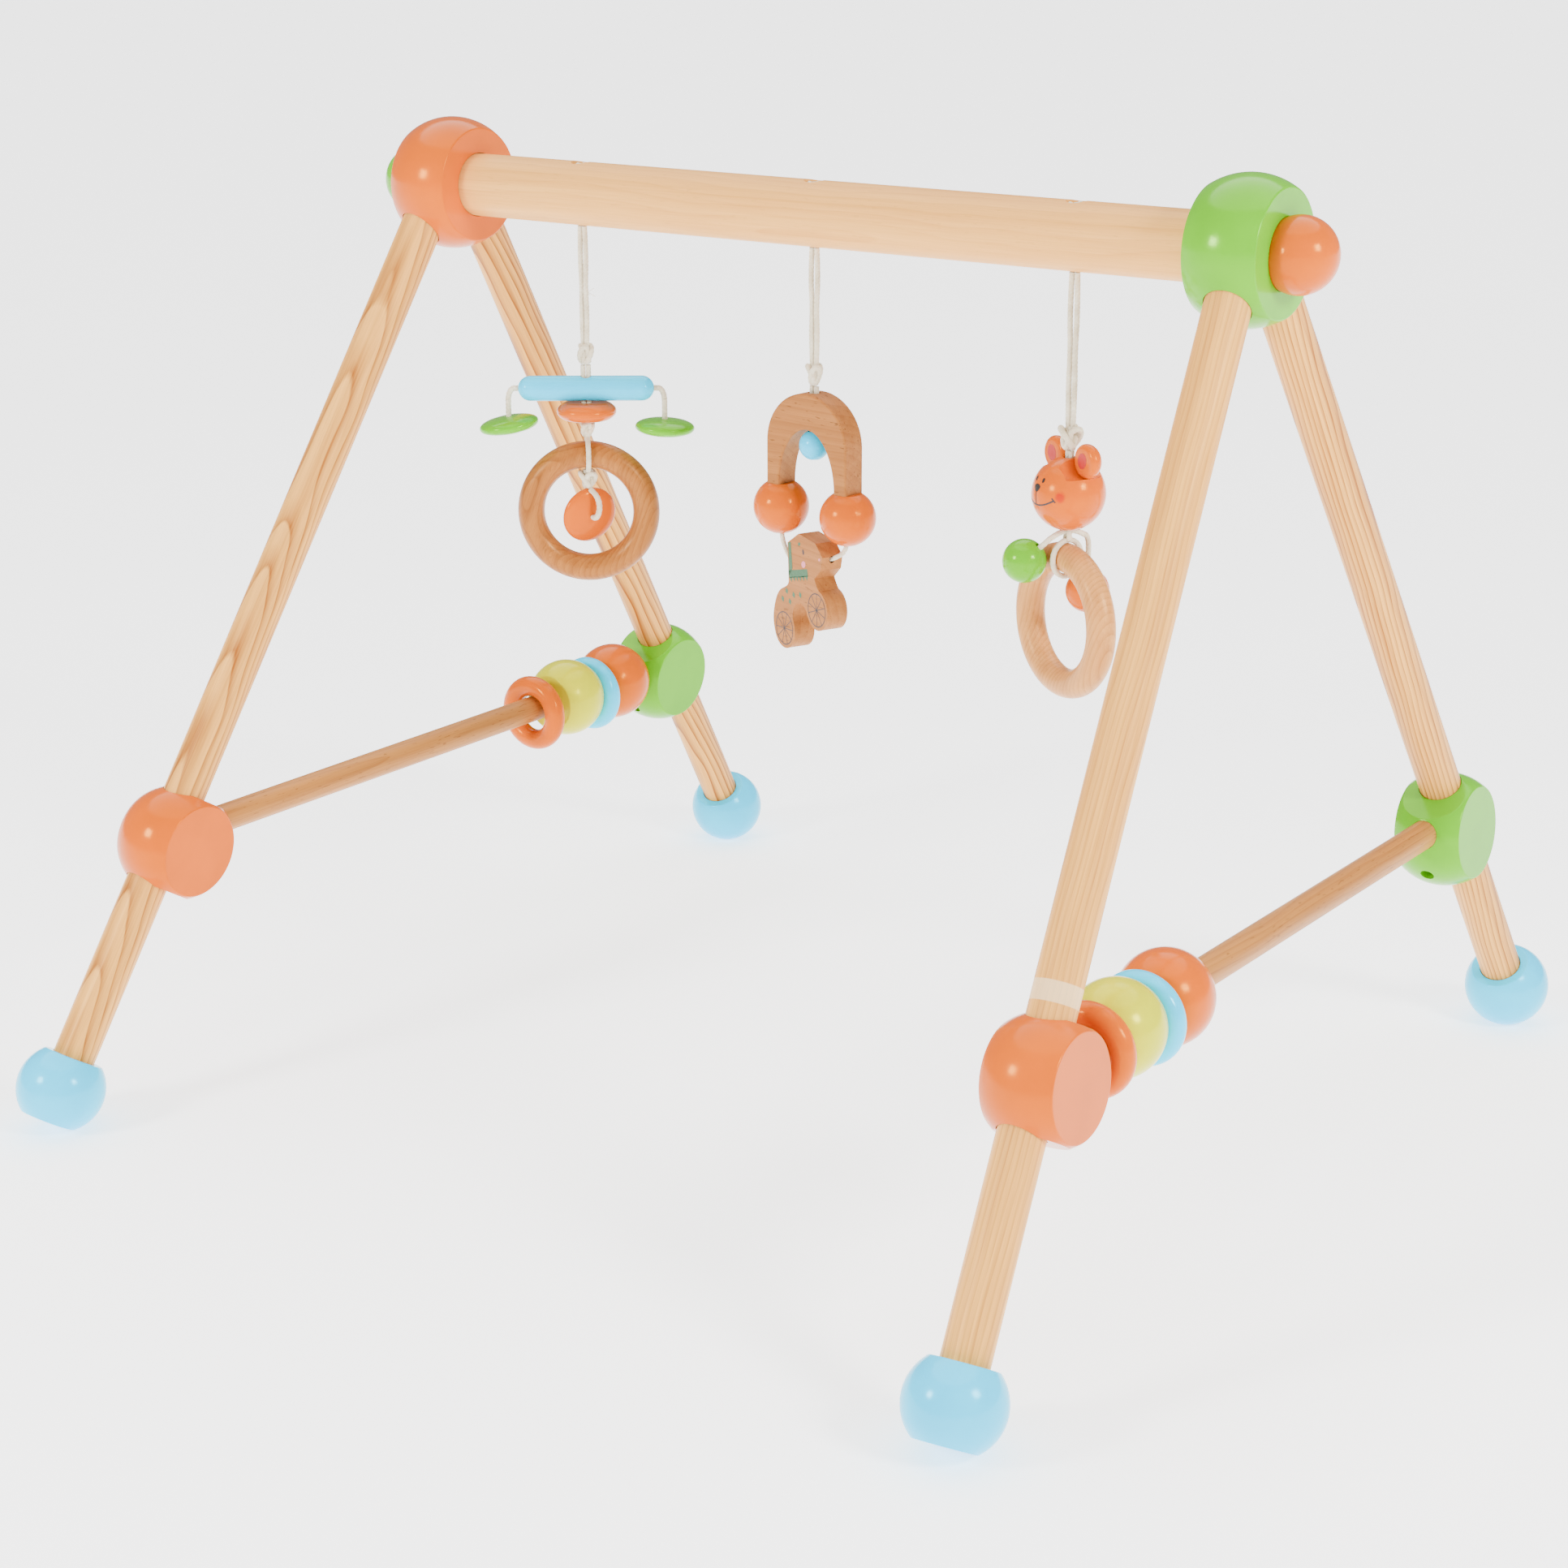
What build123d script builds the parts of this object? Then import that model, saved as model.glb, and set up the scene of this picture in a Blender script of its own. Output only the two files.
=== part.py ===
from build123d import *
import math
import os

# Wooden baby activity gym: two A-frames of dowel legs joined by lacquered balls, a thick
# crossbar with three hanging toys, and two side rods carrying sliding beads.
# Millimetres, +Z up. X runs along the crossbar, -Y is the front, Z = 0 is the floor.

# ---- frame ----
BAR_Z = 462.0                # crossbar axis above the floor
BAR_R = 16.5
TOP_X = 240.0                # top ball centres at +-X
TOP_R = 35.0
TOP_FLAT = 18.5              # half width between the two side flats of a top ball
BAR_BORE_R = 16.85
BAR_HALF = 255.5             # half length of the crossbar
APEX_RISE = 16.0             # leg axes of one A-frame meet this far above the bar axis
LEG_R = 11.0
LEG_BORE_R = 11.4
LEG_START = 32.0             # distance of the leg's top end from the apex
LEG_LENGTH = 540.0           # distance of the foot ball's centre from the apex
LEG_FOOT_DEPTH = 3.0         # leg end past the foot ball's centre
FOOT_R = 23.0
FOOT_Z = 22.0                # foot ball centre above the floor
FOOT_X = 276.0
FOOT_TOP_FLAT = 17.0
FOOT_END_FLAT = 18.0
MID_AT = 400.0               # distance of a mid ball from the apex along the leg
MID_SHIFT = 8.5              # mid ball centre, inward from the leg axis
MID_R = 30.5
MID_SIDE_FLAT = 18.2
MID_END_FLAT = 25.5
ROD_R = 7.5
ROD_RISE = 4.3               # side rod axis above the mid ball centre
ROD_HALF = 191.0
ROD_SOCKET_R = 7.65
KNOB_R = 18.0
KNOB_X = 265.5
KNOB_SEAT = 0.3              # gap between the knob's flat and the crossbar's end
BALL_EDGE = 1.0              # rounding of the flats' edges

# ---- fasteners ----
BOLT_R = 3.0
BOLT_IN_BAR = 16.0           # inner end of a leg bolt, from the apex
BOLT_LENGTH = 40.0
KNOB_BOLT_START = 234.0
KNOB_BOLT_LENGTH = 33.0
SCREW_R = 1.75
SCREW_HEAD_R = 3.3
SCREW_HEAD_H = 2.2
SCREW_HEAD_AT = 22.5         # head's top face, from the mid ball centre
SCREW_TIP_AT = -6.0
SCREW_DOWN = 4.0             # screw axis below the mid ball centre, along the leg
SCREW_RECESS_R = 3.7

# ---- beads on the side rods ----
BEAD_R = 23.0
BEAD_FLAT = 16.0
BEAD_BORE_R = 7.9
BEAD_RING_MAJOR = 16.5
BEAD_RING_MINOR = 6.0
GAP = 0.3                    # gap left between loose pieces

# ---- cord and hanging toys ----
CORD_R = 1.4
STRAND_X = 1.45              # half distance between the two strands of a hanging cord
CORD_HOLE_R = 3.2
STOP_R = 4.6                 # stop knot in the counterbore on top of the crossbar
STOP_BORE_R = 5.2
STOP_BORE_DEPTH = 9.5
TOY_X = 150.0                # outer toys hang at +-X
KNOT_R = 4.2
KNOT_H = 5.5                 # half height of a knot
RING_MAJOR = 31.2
RING_MINOR = 7.2
LOOP_R = RING_MINOR + CORD_R + GAP
DISC_R = 16.0
DISC_H = 9.0

BAR_BOTTOM = BAR_Z - BAR_R
LEFT, RIGHT, FRONT, BACK = -1, 1, -1, 1
SIDES = {"left": LEFT, "right": RIGHT}
ENDS = {"front": FRONT, "back": BACK}

os.makedirs("parts", exist_ok=True)


def save(builder, name):
    builder.part.label = name
    export_step(builder.part, f"parts/{name}.step")


# ---- planes of the frame ----
def leg_plane(side, end):
    """Plane at the leg's apex: +Z down the leg, +Y inward and across it, in the A-frame."""
    apex = Vector(side * TOP_X, 0, BAR_Z + APEX_RISE)
    rise = BAR_Z + APEX_RISE - FOOT_Z
    sideways = FOOT_X - TOP_X
    forward = math.sqrt(LEG_LENGTH**2 - rise**2 - sideways**2)
    down = Vector(side * sideways, end * forward, -rise).normalized()
    inward = Vector(0, -end, 0)
    inward = (inward - down * inward.dot(down)).normalized()
    return Plane(origin=apex, x_dir=inward.cross(down), z_dir=down)


def mid_plane(side, end):
    """The mid ball's centre, with the leg plane's axes."""
    plane = leg_plane(side, end)
    centre = plane.origin + plane.z_dir * MID_AT + plane.y_dir * MID_SHIFT
    return Plane(origin=centre, x_dir=plane.x_dir, z_dir=plane.z_dir)


def screw_plane(side, end):
    """The lock screw's axis: +Z inward and across the leg, out of the mid ball."""
    plane = mid_plane(side, end)
    centre = plane.origin + plane.z_dir * SCREW_DOWN
    return Plane(origin=centre, x_dir=plane.x_dir, z_dir=plane.y_dir)


MID_CENTRE = mid_plane(RIGHT, BACK).origin
ROD_X = MID_CENTRE.X
ROD_Z = MID_CENTRE.Z + ROD_RISE
MID_Y = MID_CENTRE.Y


def rod_plane(side):
    return Plane(origin=(side * ROD_X, 0, ROD_Z), x_dir=(1, 0, 0), z_dir=(0, 1, 0))


# ---- crossbar ----
with BuildPart() as crossbar:
    with BuildSketch(Plane.YZ.offset(-BAR_HALF)):
        with Locations((0, BAR_Z)):
            Circle(BAR_R)
    extrude(amount=2 * BAR_HALF)
    chamfer(crossbar.edges().filter_by(GeomType.CIRCLE), 0.8)
    for x in (-TOY_X, 0, TOY_X):
        with BuildSketch(Plane.XY.offset(BAR_BOTTOM - 1)):
            with Locations((x, 0)):
                Circle(CORD_HOLE_R)
        extrude(amount=2 * BAR_R + 2, mode=Mode.SUBTRACT)
        with BuildSketch(Plane.XY.offset(BAR_Z + BAR_R - STOP_BORE_DEPTH)):
            with Locations((x, 0)):
                Circle(STOP_BORE_R)
        extrude(amount=STOP_BORE_DEPTH + 1, mode=Mode.SUBTRACT)
    for side in SIDES.values():
        with BuildSketch(Plane.YZ.offset(side * KNOB_BOLT_START)):
            with Locations((0, BAR_Z)):
                Circle(BOLT_R)
        extrude(amount=side * KNOB_BOLT_LENGTH, mode=Mode.SUBTRACT)
        for end in ENDS.values():
            with BuildSketch(leg_plane(side, end).offset(BOLT_IN_BAR)):
                Circle(BOLT_R)
            extrude(amount=BOLT_LENGTH, mode=Mode.SUBTRACT)
save(crossbar, "crossbar")

# ---- top balls and end knobs ----
for side_name, side in SIDES.items():
    centre = Plane(origin=(side * TOP_X, 0, BAR_Z))
    with BuildPart(centre) as top_ball:
        Sphere(TOP_R)
        Box(2 * TOP_FLAT, 2 * TOP_R, 2 * TOP_R, mode=Mode.INTERSECT)
        fillet(top_ball.edges().filter_by(GeomType.CIRCLE), BALL_EDGE)
        Cylinder(BAR_BORE_R, 2 * TOP_R, rotation=(0, 90, 0), mode=Mode.SUBTRACT)
        for end in ENDS.values():
            with BuildSketch(leg_plane(side, end).offset(LEG_START - 0.4)):
                Circle(LEG_BORE_R)
            extrude(amount=TOP_R, mode=Mode.SUBTRACT)
            with BuildSketch(leg_plane(side, end).offset(BOLT_IN_BAR)):
                Circle(BOLT_R)
            extrude(amount=BOLT_LENGTH, mode=Mode.SUBTRACT)
    save(top_ball, f"top_ball_{side_name}")

    with BuildPart(Plane(origin=(side * KNOB_X, 0, BAR_Z))) as end_knob:
        Sphere(KNOB_R)
    with BuildPart() as end_knob_cut:
        add(end_knob.part)
        seat = Plane.YZ.offset(side * (BAR_HALF + KNOB_SEAT))
        split(bisect_by=seat, keep=Keep.TOP if side > 0 else Keep.BOTTOM)
        fillet(end_knob_cut.edges().filter_by(GeomType.CIRCLE), BALL_EDGE)
        with BuildSketch(Plane.YZ.offset(side * KNOB_BOLT_START)):
            with Locations((0, BAR_Z)):
                Circle(BOLT_R)
        extrude(amount=side * KNOB_BOLT_LENGTH, mode=Mode.SUBTRACT)
    save(end_knob_cut, f"end_knob_{side_name}")

# ---- hanger bolts: four join the legs to the crossbar, two hold the end knobs ----
with BuildPart() as hanger_bolts:
    for side in SIDES.values():
        with BuildSketch(Plane.YZ.offset(side * KNOB_BOLT_START)):
            with Locations((0, BAR_Z)):
                Circle(BOLT_R)
        extrude(amount=side * KNOB_BOLT_LENGTH)
        for end in ENDS.values():
            with BuildSketch(leg_plane(side, end).offset(BOLT_IN_BAR)):
                Circle(BOLT_R)
            extrude(amount=BOLT_LENGTH)
save(hanger_bolts, "hanger_bolts")

# ---- legs, mid balls and feet ----
for side_name, side in SIDES.items():
    for end_name, end in ENDS.items():
        name = f"{end_name}_{side_name}"
        plane = leg_plane(side, end)
        with BuildPart() as leg:
            with BuildSketch(plane.offset(LEG_START)):
                Circle(LEG_R)
            extrude(amount=LEG_LENGTH + LEG_FOOT_DEPTH - LEG_START)
            chamfer(leg.edges().filter_by(GeomType.CIRCLE), 0.8)
            with BuildSketch(plane.offset(BOLT_IN_BAR)):
                Circle(BOLT_R)
            extrude(amount=BOLT_LENGTH, mode=Mode.SUBTRACT)
            with BuildSketch(screw_plane(side, end).offset(SCREW_TIP_AT)):
                Circle(SCREW_R)
            extrude(amount=MID_R, mode=Mode.SUBTRACT)
        save(leg, f"leg_{name}")

        with BuildPart(mid_plane(side, end)) as mid_ball:
            Sphere(MID_R)
            Box(2 * MID_SIDE_FLAT, 2 * MID_R, 2 * MID_END_FLAT, mode=Mode.INTERSECT)
            fillet(mid_ball.edges().filter_by(GeomType.CIRCLE), BALL_EDGE)
            with BuildSketch(plane.offset(MID_AT - MID_R - 5)):
                Circle(LEG_BORE_R)
            extrude(amount=2 * MID_R + 10, mode=Mode.SUBTRACT)
            with BuildSketch(Plane.XZ.offset(-end * (ROD_HALF + GAP))):
                with Locations((side * ROD_X, ROD_Z)):
                    Circle(ROD_SOCKET_R)
            extrude(amount=end * MID_R * 1.5, mode=Mode.SUBTRACT)
            with BuildSketch(screw_plane(side, end).offset(SCREW_TIP_AT)):
                Circle(SCREW_R)
            extrude(amount=MID_R, mode=Mode.SUBTRACT)
            with BuildSketch(screw_plane(side, end).offset(SCREW_HEAD_AT - SCREW_HEAD_H)):
                Circle(SCREW_RECESS_R)
            extrude(amount=MID_R, mode=Mode.SUBTRACT)
        save(mid_ball, f"mid_ball_{name}")

        with BuildPart(plane.offset(LEG_LENGTH)) as foot:
            Sphere(FOOT_R)
            with Locations((0, 0, (FOOT_END_FLAT - FOOT_TOP_FLAT) / 2)):
                Box(2 * FOOT_R, 2 * FOOT_R, FOOT_TOP_FLAT + FOOT_END_FLAT, mode=Mode.INTERSECT)
            fillet(foot.edges().filter_by(GeomType.CIRCLE), BALL_EDGE)
            with BuildSketch(plane.offset(LEG_LENGTH - FOOT_R - 2)):
                Circle(LEG_BORE_R)
            extrude(amount=FOOT_R + 2 + LEG_FOOT_DEPTH + GAP, mode=Mode.SUBTRACT)
        with BuildPart() as foot_cut:
            add(foot.part)
            split(bisect_by=Plane.XY, keep=Keep.TOP)
        save(foot_cut, f"foot_{name}")

# ---- side rods and the screws that lock the mid balls to the legs ----
for side_name, side in SIDES.items():
    with BuildPart() as side_rod:
        with BuildSketch(rod_plane(side).offset(-ROD_HALF)):
            Circle(ROD_R)
        extrude(amount=2 * ROD_HALF)
        chamfer(side_rod.edges().filter_by(GeomType.CIRCLE), 0.8)
    save(side_rod, f"side_rod_{side_name}")

with BuildPart() as lock_screws:
    for side in SIDES.values():
        for end in ENDS.values():
            head = screw_plane(side, end).offset(SCREW_HEAD_AT - SCREW_HEAD_H)
            with BuildSketch(screw_plane(side, end).offset(SCREW_TIP_AT)):
                Circle(SCREW_R)
            extrude(amount=SCREW_HEAD_AT - SCREW_HEAD_H - SCREW_TIP_AT)
            with BuildSketch(head):
                Circle(SCREW_HEAD_R)
            extrude(amount=SCREW_HEAD_H)
            with BuildSketch(head.offset(SCREW_HEAD_H)):
                Rectangle(4.4, 0.9)
                Rectangle(0.9, 4.4)
            extrude(amount=-1.2, mode=Mode.SUBTRACT)
save(lock_screws, "lock_screws")

# ---- beads ----
MID_CONTACT_Y = MID_Y - math.sqrt(MID_R**2 - (BEAD_BORE_R - ROD_RISE) ** 2)
RING_DROP = BEAD_RING_MAJOR - BEAD_RING_MINOR - ROD_R - GAP
BEAD_PITCH = BEAD_FLAT + BEAD_RING_MINOR + GAP
RIGHT_FIRST_RING_Y = -168.0
LEFT_RING_SLACK = 8.0


def ball_bead(name, side, y):
    with BuildPart(rod_plane(side).offset(y)) as bead:
        Sphere(BEAD_R)
        Box(2 * BEAD_R, 2 * BEAD_R, 2 * BEAD_FLAT, mode=Mode.INTERSECT)
        fillet(bead.edges().filter_by(GeomType.CIRCLE), BALL_EDGE)
        Cylinder(BEAD_BORE_R, 3 * BEAD_FLAT, mode=Mode.SUBTRACT)
        rims = bead.edges().filter_by(GeomType.CIRCLE)
        chamfer([e for e in rims if abs(e.radius - BEAD_BORE_R) < 0.01], 0.5)
    save(bead, name)


def ring_bead(name, side, y):
    plane = rod_plane(side).offset(y)
    centre = Plane(origin=plane.origin - Vector(0, 0, RING_DROP), x_dir=plane.x_dir, z_dir=plane.z_dir)
    with BuildPart(centre) as bead:
        Torus(BEAD_RING_MAJOR, BEAD_RING_MINOR)
    save(bead, name)


left_ball_y = MID_CONTACT_Y - GAP - BEAD_FLAT
ball_bead("bead_left_orange_ball", LEFT, left_ball_y)
ring_bead("bead_left_blue_ring", LEFT, left_ball_y - BEAD_PITCH)
ball_bead("bead_left_yellow_ball", LEFT, left_ball_y - 2 * BEAD_PITCH)
ring_bead("bead_left_orange_ring", LEFT, left_ball_y - 3 * BEAD_PITCH - LEFT_RING_SLACK)
ring_bead("bead_right_orange_ring", RIGHT, RIGHT_FIRST_RING_Y)
ball_bead("bead_right_yellow_ball", RIGHT, RIGHT_FIRST_RING_Y + BEAD_PITCH)
ring_bead("bead_right_blue_ring", RIGHT, RIGHT_FIRST_RING_Y + 2 * BEAD_PITCH)
ball_bead("bead_right_orange_ball", RIGHT, RIGHT_FIRST_RING_Y + 3 * BEAD_PITCH)


# ---- shapes that the toys share ----
def toy_plane(x, turn, z, forward=0.0):
    """Horizontal plane on a toy's cord axis, turned about the vertical."""
    a = math.radians(turn)
    return Plane(origin=(x, forward, z), x_dir=(math.cos(a), math.sin(a), 0), z_dir=(0, 0, 1))


def upright(plane):
    """The plane's vertical partner: +X as before, +Y up, +Z towards its own -Y side."""
    return Plane(origin=plane.origin, x_dir=plane.x_dir, z_dir=-plane.y_dir)


def pitched(plane, angle):
    """The plane turned in itself, so that its +X rises towards its +Y."""
    a = math.radians(angle)
    return Plane(origin=plane.origin, x_dir=plane.x_dir * math.cos(a) + plane.y_dir * math.sin(a),
                 z_dir=plane.z_dir)


def strands(plane, height):
    """Two parallel cord strands rising from the plane."""
    with BuildSketch(plane) as section:
        with Locations((-STRAND_X, 0), (STRAND_X, 0)):
            Circle(CORD_R)
    extrude(section.sketch, amount=height)


def knot(plane, radius=KNOT_R, half_height=KNOT_H):
    """A knot as a plain barrel, centred on the plane."""
    with BuildSketch(upright(plane)) as profile:
        with BuildLine():
            Line((0, half_height), (0.74 * radius, half_height))
            ThreePointArc((0.74 * radius, half_height), (radius, 0), (0.74 * radius, -half_height))
            Line((0.74 * radius, -half_height), (0, -half_height))
            Line((0, -half_height), (0, half_height))
        make_face()
    revolve(profile.sketch, axis=Axis(plane.origin, (0, 0, 1)))


def lens(plane, radius, height):
    """A thick lens with a rounded rim, its axis along the plane's normal."""
    flank = Plane(origin=plane.origin, x_dir=plane.x_dir, z_dir=-plane.y_dir)
    with BuildSketch(flank) as profile:
        with BuildLine():
            top = (0, height / 2)
            rim = (radius, 0)
            bottom = (0, -height / 2)
            shoulder = 0.93 * radius
            Spline(top, (shoulder, 0.27 * height), rim, tangents=((1, 0), (0, -1)))
            Spline(rim, (shoulder, -0.27 * height), bottom, tangents=((0, -1), (-1, 0)))
            Line(bottom, top)
        make_face()
    revolve(profile.sketch, axis=Axis(plane.origin, plane.z_dir))


def tube(points, radii):
    """A cord along straight runs joined by arcs."""
    with BuildLine() as route:
        FilletPolyline(*points, radius=radii)
    path = route.wires()[0]
    with BuildSketch(Plane(origin=path @ 0, z_dir=path % 0)) as section:
        Circle(CORD_R)
    sweep(section.sketch, path=path)


def hole(plane, radius, height):
    with BuildSketch(plane) as section:
        Circle(radius)
    extrude(section.sketch, amount=height, mode=Mode.SUBTRACT)


def hanging_cord(name, x, knot_z, radius=KNOT_R, half_height=KNOT_H):
    """Two strands from under the crossbar down to a knot."""
    with BuildPart() as cord:
        strands(toy_plane(x, 0, knot_z), BAR_BOTTOM - GAP - knot_z)
        knot(toy_plane(x, 0, knot_z), radius, half_height)
    save(cord, name)


def grasp_ring(name, x, turn, z):
    with BuildPart(upright(toy_plane(x, turn, z))) as ring:
        Torus(RING_MAJOR, RING_MINOR)
    save(ring, name)


def ring_loop(x, turn, z):
    """A closed cord loop round the ring's tube at its top."""
    plane = toy_plane(x, turn, z + RING_MAJOR)
    with Locations(Plane(origin=plane.origin, x_dir=plane.y_dir, z_dir=plane.x_dir)):
        Torus(LOOP_R, CORD_R)


# stop knots with their strand ends, in the crossbar's counterbores
with BuildPart() as cord_anchors:
    for x in (-TOY_X, 0, TOY_X):
        seat_z = BAR_Z + BAR_R - STOP_BORE_DEPTH
        strands(toy_plane(x, 0, BAR_BOTTOM + 1.5), seat_z + STOP_R - BAR_BOTTOM - 1.5)
        with Locations((x, 0, seat_z + STOP_R)):
            Sphere(STOP_R)
save(cord_anchors, "cord_anchors")

# ---- left toy: spreader bar with discs, and a grasping ring ----
LEFT_TURN = 36.0
SPREADER_Z = 359.0
SPREADER_R = 6.7
SPREADER_HALF = 36.5
LEFT_KNOT_Z = 377.5
ORANGE_DISC_Z = 346.8
LEFT_LOWER_KNOT_Z = 337.0
LEFT_RING_Z = 292.0
RING_KNOT_Z = 309.5
RING_CORD_BEND = 3.0
SIDE_CORD_X = SPREADER_HALF + 5.4
SIDE_BEND = 5.0
SIDE_PIVOT_Z = SPREADER_Z - 6.0
GREEN_DISC_Z = 339.5
RING_DISC_AT = (0.0, 2.5, -2.5)
RING_DISC_LEAN = 12.0

hanging_cord("left_cord", -TOY_X, LEFT_KNOT_Z)

with BuildPart() as left_inner_cord:
    neck_top = LEFT_KNOT_Z - KNOT_H - GAP
    strands(toy_plane(-TOY_X, LEFT_TURN, LEFT_LOWER_KNOT_Z), neck_top - LEFT_LOWER_KNOT_Z)
    knot(toy_plane(-TOY_X, LEFT_TURN, LEFT_LOWER_KNOT_Z), 4.4, 4.6)
    ring_loop(-TOY_X, LEFT_TURN, LEFT_RING_Z)
    knot(toy_plane(-TOY_X, LEFT_TURN, RING_KNOT_Z), 4.6, 4.8)
    strands(toy_plane(-TOY_X, LEFT_TURN, RING_KNOT_Z), 6.0)
save(left_inner_cord, "left_inner_cord")

with BuildPart() as spreader_bar:
    across = toy_plane(-TOY_X, LEFT_TURN, SPREADER_Z)
    with BuildSketch(upright(across)):
        with Locations((0, 0)):
            SlotOverall(2 * SPREADER_HALF, 2 * SPREADER_R)
        Rectangle(2 * SPREADER_HALF, 2 * SPREADER_R, align=(Align.CENTER, Align.MAX), mode=Mode.SUBTRACT)
    revolve(axis=Axis(across.origin, across.x_dir))
    hole(across.offset(-SPREADER_R - 1), CORD_HOLE_R, 2 * SPREADER_R + 2)
    lengthwise = Plane(origin=across.origin, x_dir=across.y_dir, z_dir=across.x_dir)
    hole(lengthwise.offset(-SPREADER_HALF - 1), CORD_R + 0.3, 2 * SPREADER_HALF + 2)
save(spreader_bar, "spreader_bar")

with BuildPart() as spreader_cord:
    for side in SIDES.values():
        across = toy_plane(-TOY_X, LEFT_TURN, SPREADER_Z)
        route = [(side * 6.0, 0, 0), (side * SIDE_CORD_X, 0, 0), (side * SIDE_CORD_X, 0, -6.0)]
        tube([across.from_local_coords(p) for p in route], SIDE_BEND)
save(spreader_cord, "spreader_cord")

with BuildPart() as orange_disc:
    plane = toy_plane(-TOY_X, LEFT_TURN, ORANGE_DISC_Z)
    lens(plane, DISC_R, DISC_H)
    hole(plane.offset(-DISC_H), CORD_HOLE_R, 2 * DISC_H)
save(orange_disc, "orange_disc")

for side_name, side in SIDES.items():
    middle = toy_plane(-TOY_X, LEFT_TURN, GREEN_DISC_Z)
    drop = Plane(origin=middle.origin + middle.x_dir * side * SIDE_CORD_X, x_dir=middle.x_dir)
    with BuildPart() as disc_cord:
        with BuildSketch(drop.offset(-1.0)):
            Circle(CORD_R)
        extrude(amount=SIDE_PIVOT_Z - GREEN_DISC_Z + 1.0 - 3 * GAP)
    save(disc_cord, f"disc_cord_{side_name}")
    with BuildPart() as green_disc:
        lens(drop, DISC_R, DISC_H)
        hole(drop.offset(-1.0), CORD_R, DISC_H)
    save(green_disc, f"green_disc_{side_name}")

grasp_ring("grasp_ring_left", -TOY_X, LEFT_TURN, LEFT_RING_Z)

ring_middle = toy_plane(-TOY_X, LEFT_TURN, LEFT_RING_Z)
disc_centre = ring_middle.from_local_coords(Vector(RING_DISC_AT))
lean = math.radians(RING_DISC_LEAN)
facing = ring_middle.z_dir * math.sin(lean) - ring_middle.y_dir * math.cos(lean)
face = Plane(origin=disc_centre, x_dir=ring_middle.x_dir, z_dir=facing)

with BuildPart() as ring_disc:
    lens(face, DISC_R - 0.5, DISC_H)
    hole(face.offset(-DISC_H), CORD_R, 2 * DISC_H)
save(ring_disc, "ring_disc")

with BuildPart() as ring_disc_cord:
    route = [(0, 13.0, 5.6), (0, 0.0, 7.5), (0, 0.0, -3.0)]
    tube([face.from_local_coords(p) for p in route], RING_CORD_BEND)
save(ring_disc_cord, "ring_disc_cord")

# ---- middle toy: arch with balls, and an animal on a cord between them ----
ARCH_TURN = -5.5
ARCH_TOP_Z = 372.5
ARCH_END_Z = 323.5
ARCH_HALF = 26.5
ARCH_INNER_HALF = 18.5
ARCH_CROWN = 18.4
ARCH_DEPTH = 14.0
MIDDLE_KNOT_Z = 381.5
BLUE_BEAD_R = 7.8
BLUE_BEAD_Z = 345.6
ARCH_BALL_X = 22.5
ARCH_BALL_R = 14.5
ARCH_BALL_Z = 311.0

hanging_cord("middle_cord", 0, MIDDLE_KNOT_Z)

with BuildPart() as middle_inner_cord:
    bead_bottom = BLUE_BEAD_Z - BLUE_BEAD_R
    neck_top = MIDDLE_KNOT_Z - KNOT_H - GAP
    strands(toy_plane(0, ARCH_TURN, bead_bottom + 2.2), neck_top - bead_bottom - 2.2)
save(middle_inner_cord, "middle_inner_cord")

with BuildPart() as arch:
    front = upright(toy_plane(0, ARCH_TURN, ARCH_END_Z))
    height = ARCH_TOP_Z - ARCH_END_Z
    spring_line = height - ARCH_HALF
    with BuildSketch(front.offset(-ARCH_DEPTH / 2)):
        with BuildLine():
            Line((-ARCH_HALF, 0), (-ARCH_HALF, spring_line))
            RadiusArc((-ARCH_HALF, spring_line), (ARCH_HALF, spring_line), ARCH_HALF)
            Line((ARCH_HALF, spring_line), (ARCH_HALF, 0))
            Line((ARCH_HALF, 0), (ARCH_INNER_HALF, 0))
            EllipticalCenterArc((0, 0), ARCH_INNER_HALF, height - ARCH_CROWN, 0, arc_size=180)
            Line((-ARCH_INNER_HALF, 0), (-ARCH_HALF, 0))
        make_face()
    extrude(amount=ARCH_DEPTH)
    long_edges = arch.edges().filter_by(lambda e: e.length > 30)
    fillet(long_edges, 1.2)
    hole(toy_plane(0, ARCH_TURN, ARCH_END_Z), CORD_HOLE_R, height + 5)
save(arch, "arch")

for side_name, side in SIDES.items():
    middle = toy_plane(0, ARCH_TURN, ARCH_BALL_Z)
    centre = middle.origin + middle.x_dir * side * ARCH_BALL_X
    with BuildPart(Plane(origin=centre, x_dir=middle.x_dir)) as arch_ball:
        Sphere(ARCH_BALL_R)
    with BuildPart() as arch_ball_cut:
        add(arch_ball.part)
        split(bisect_by=Plane.XY.offset(ARCH_END_Z), keep=Keep.BOTTOM)
        hole(Plane(origin=centre - Vector(0, 0, ARCH_BALL_R + 1), x_dir=middle.x_dir), CORD_R, 9.0)
    save(arch_ball_cut, f"arch_ball_{side_name}")

with BuildPart(toy_plane(0, ARCH_TURN, BLUE_BEAD_Z)) as blue_bead:
    Sphere(BLUE_BEAD_R)
    Cylinder(CORD_HOLE_R, 3 * BLUE_BEAD_R, mode=Mode.SUBTRACT)
save(blue_bead, "blue_bead")

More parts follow.
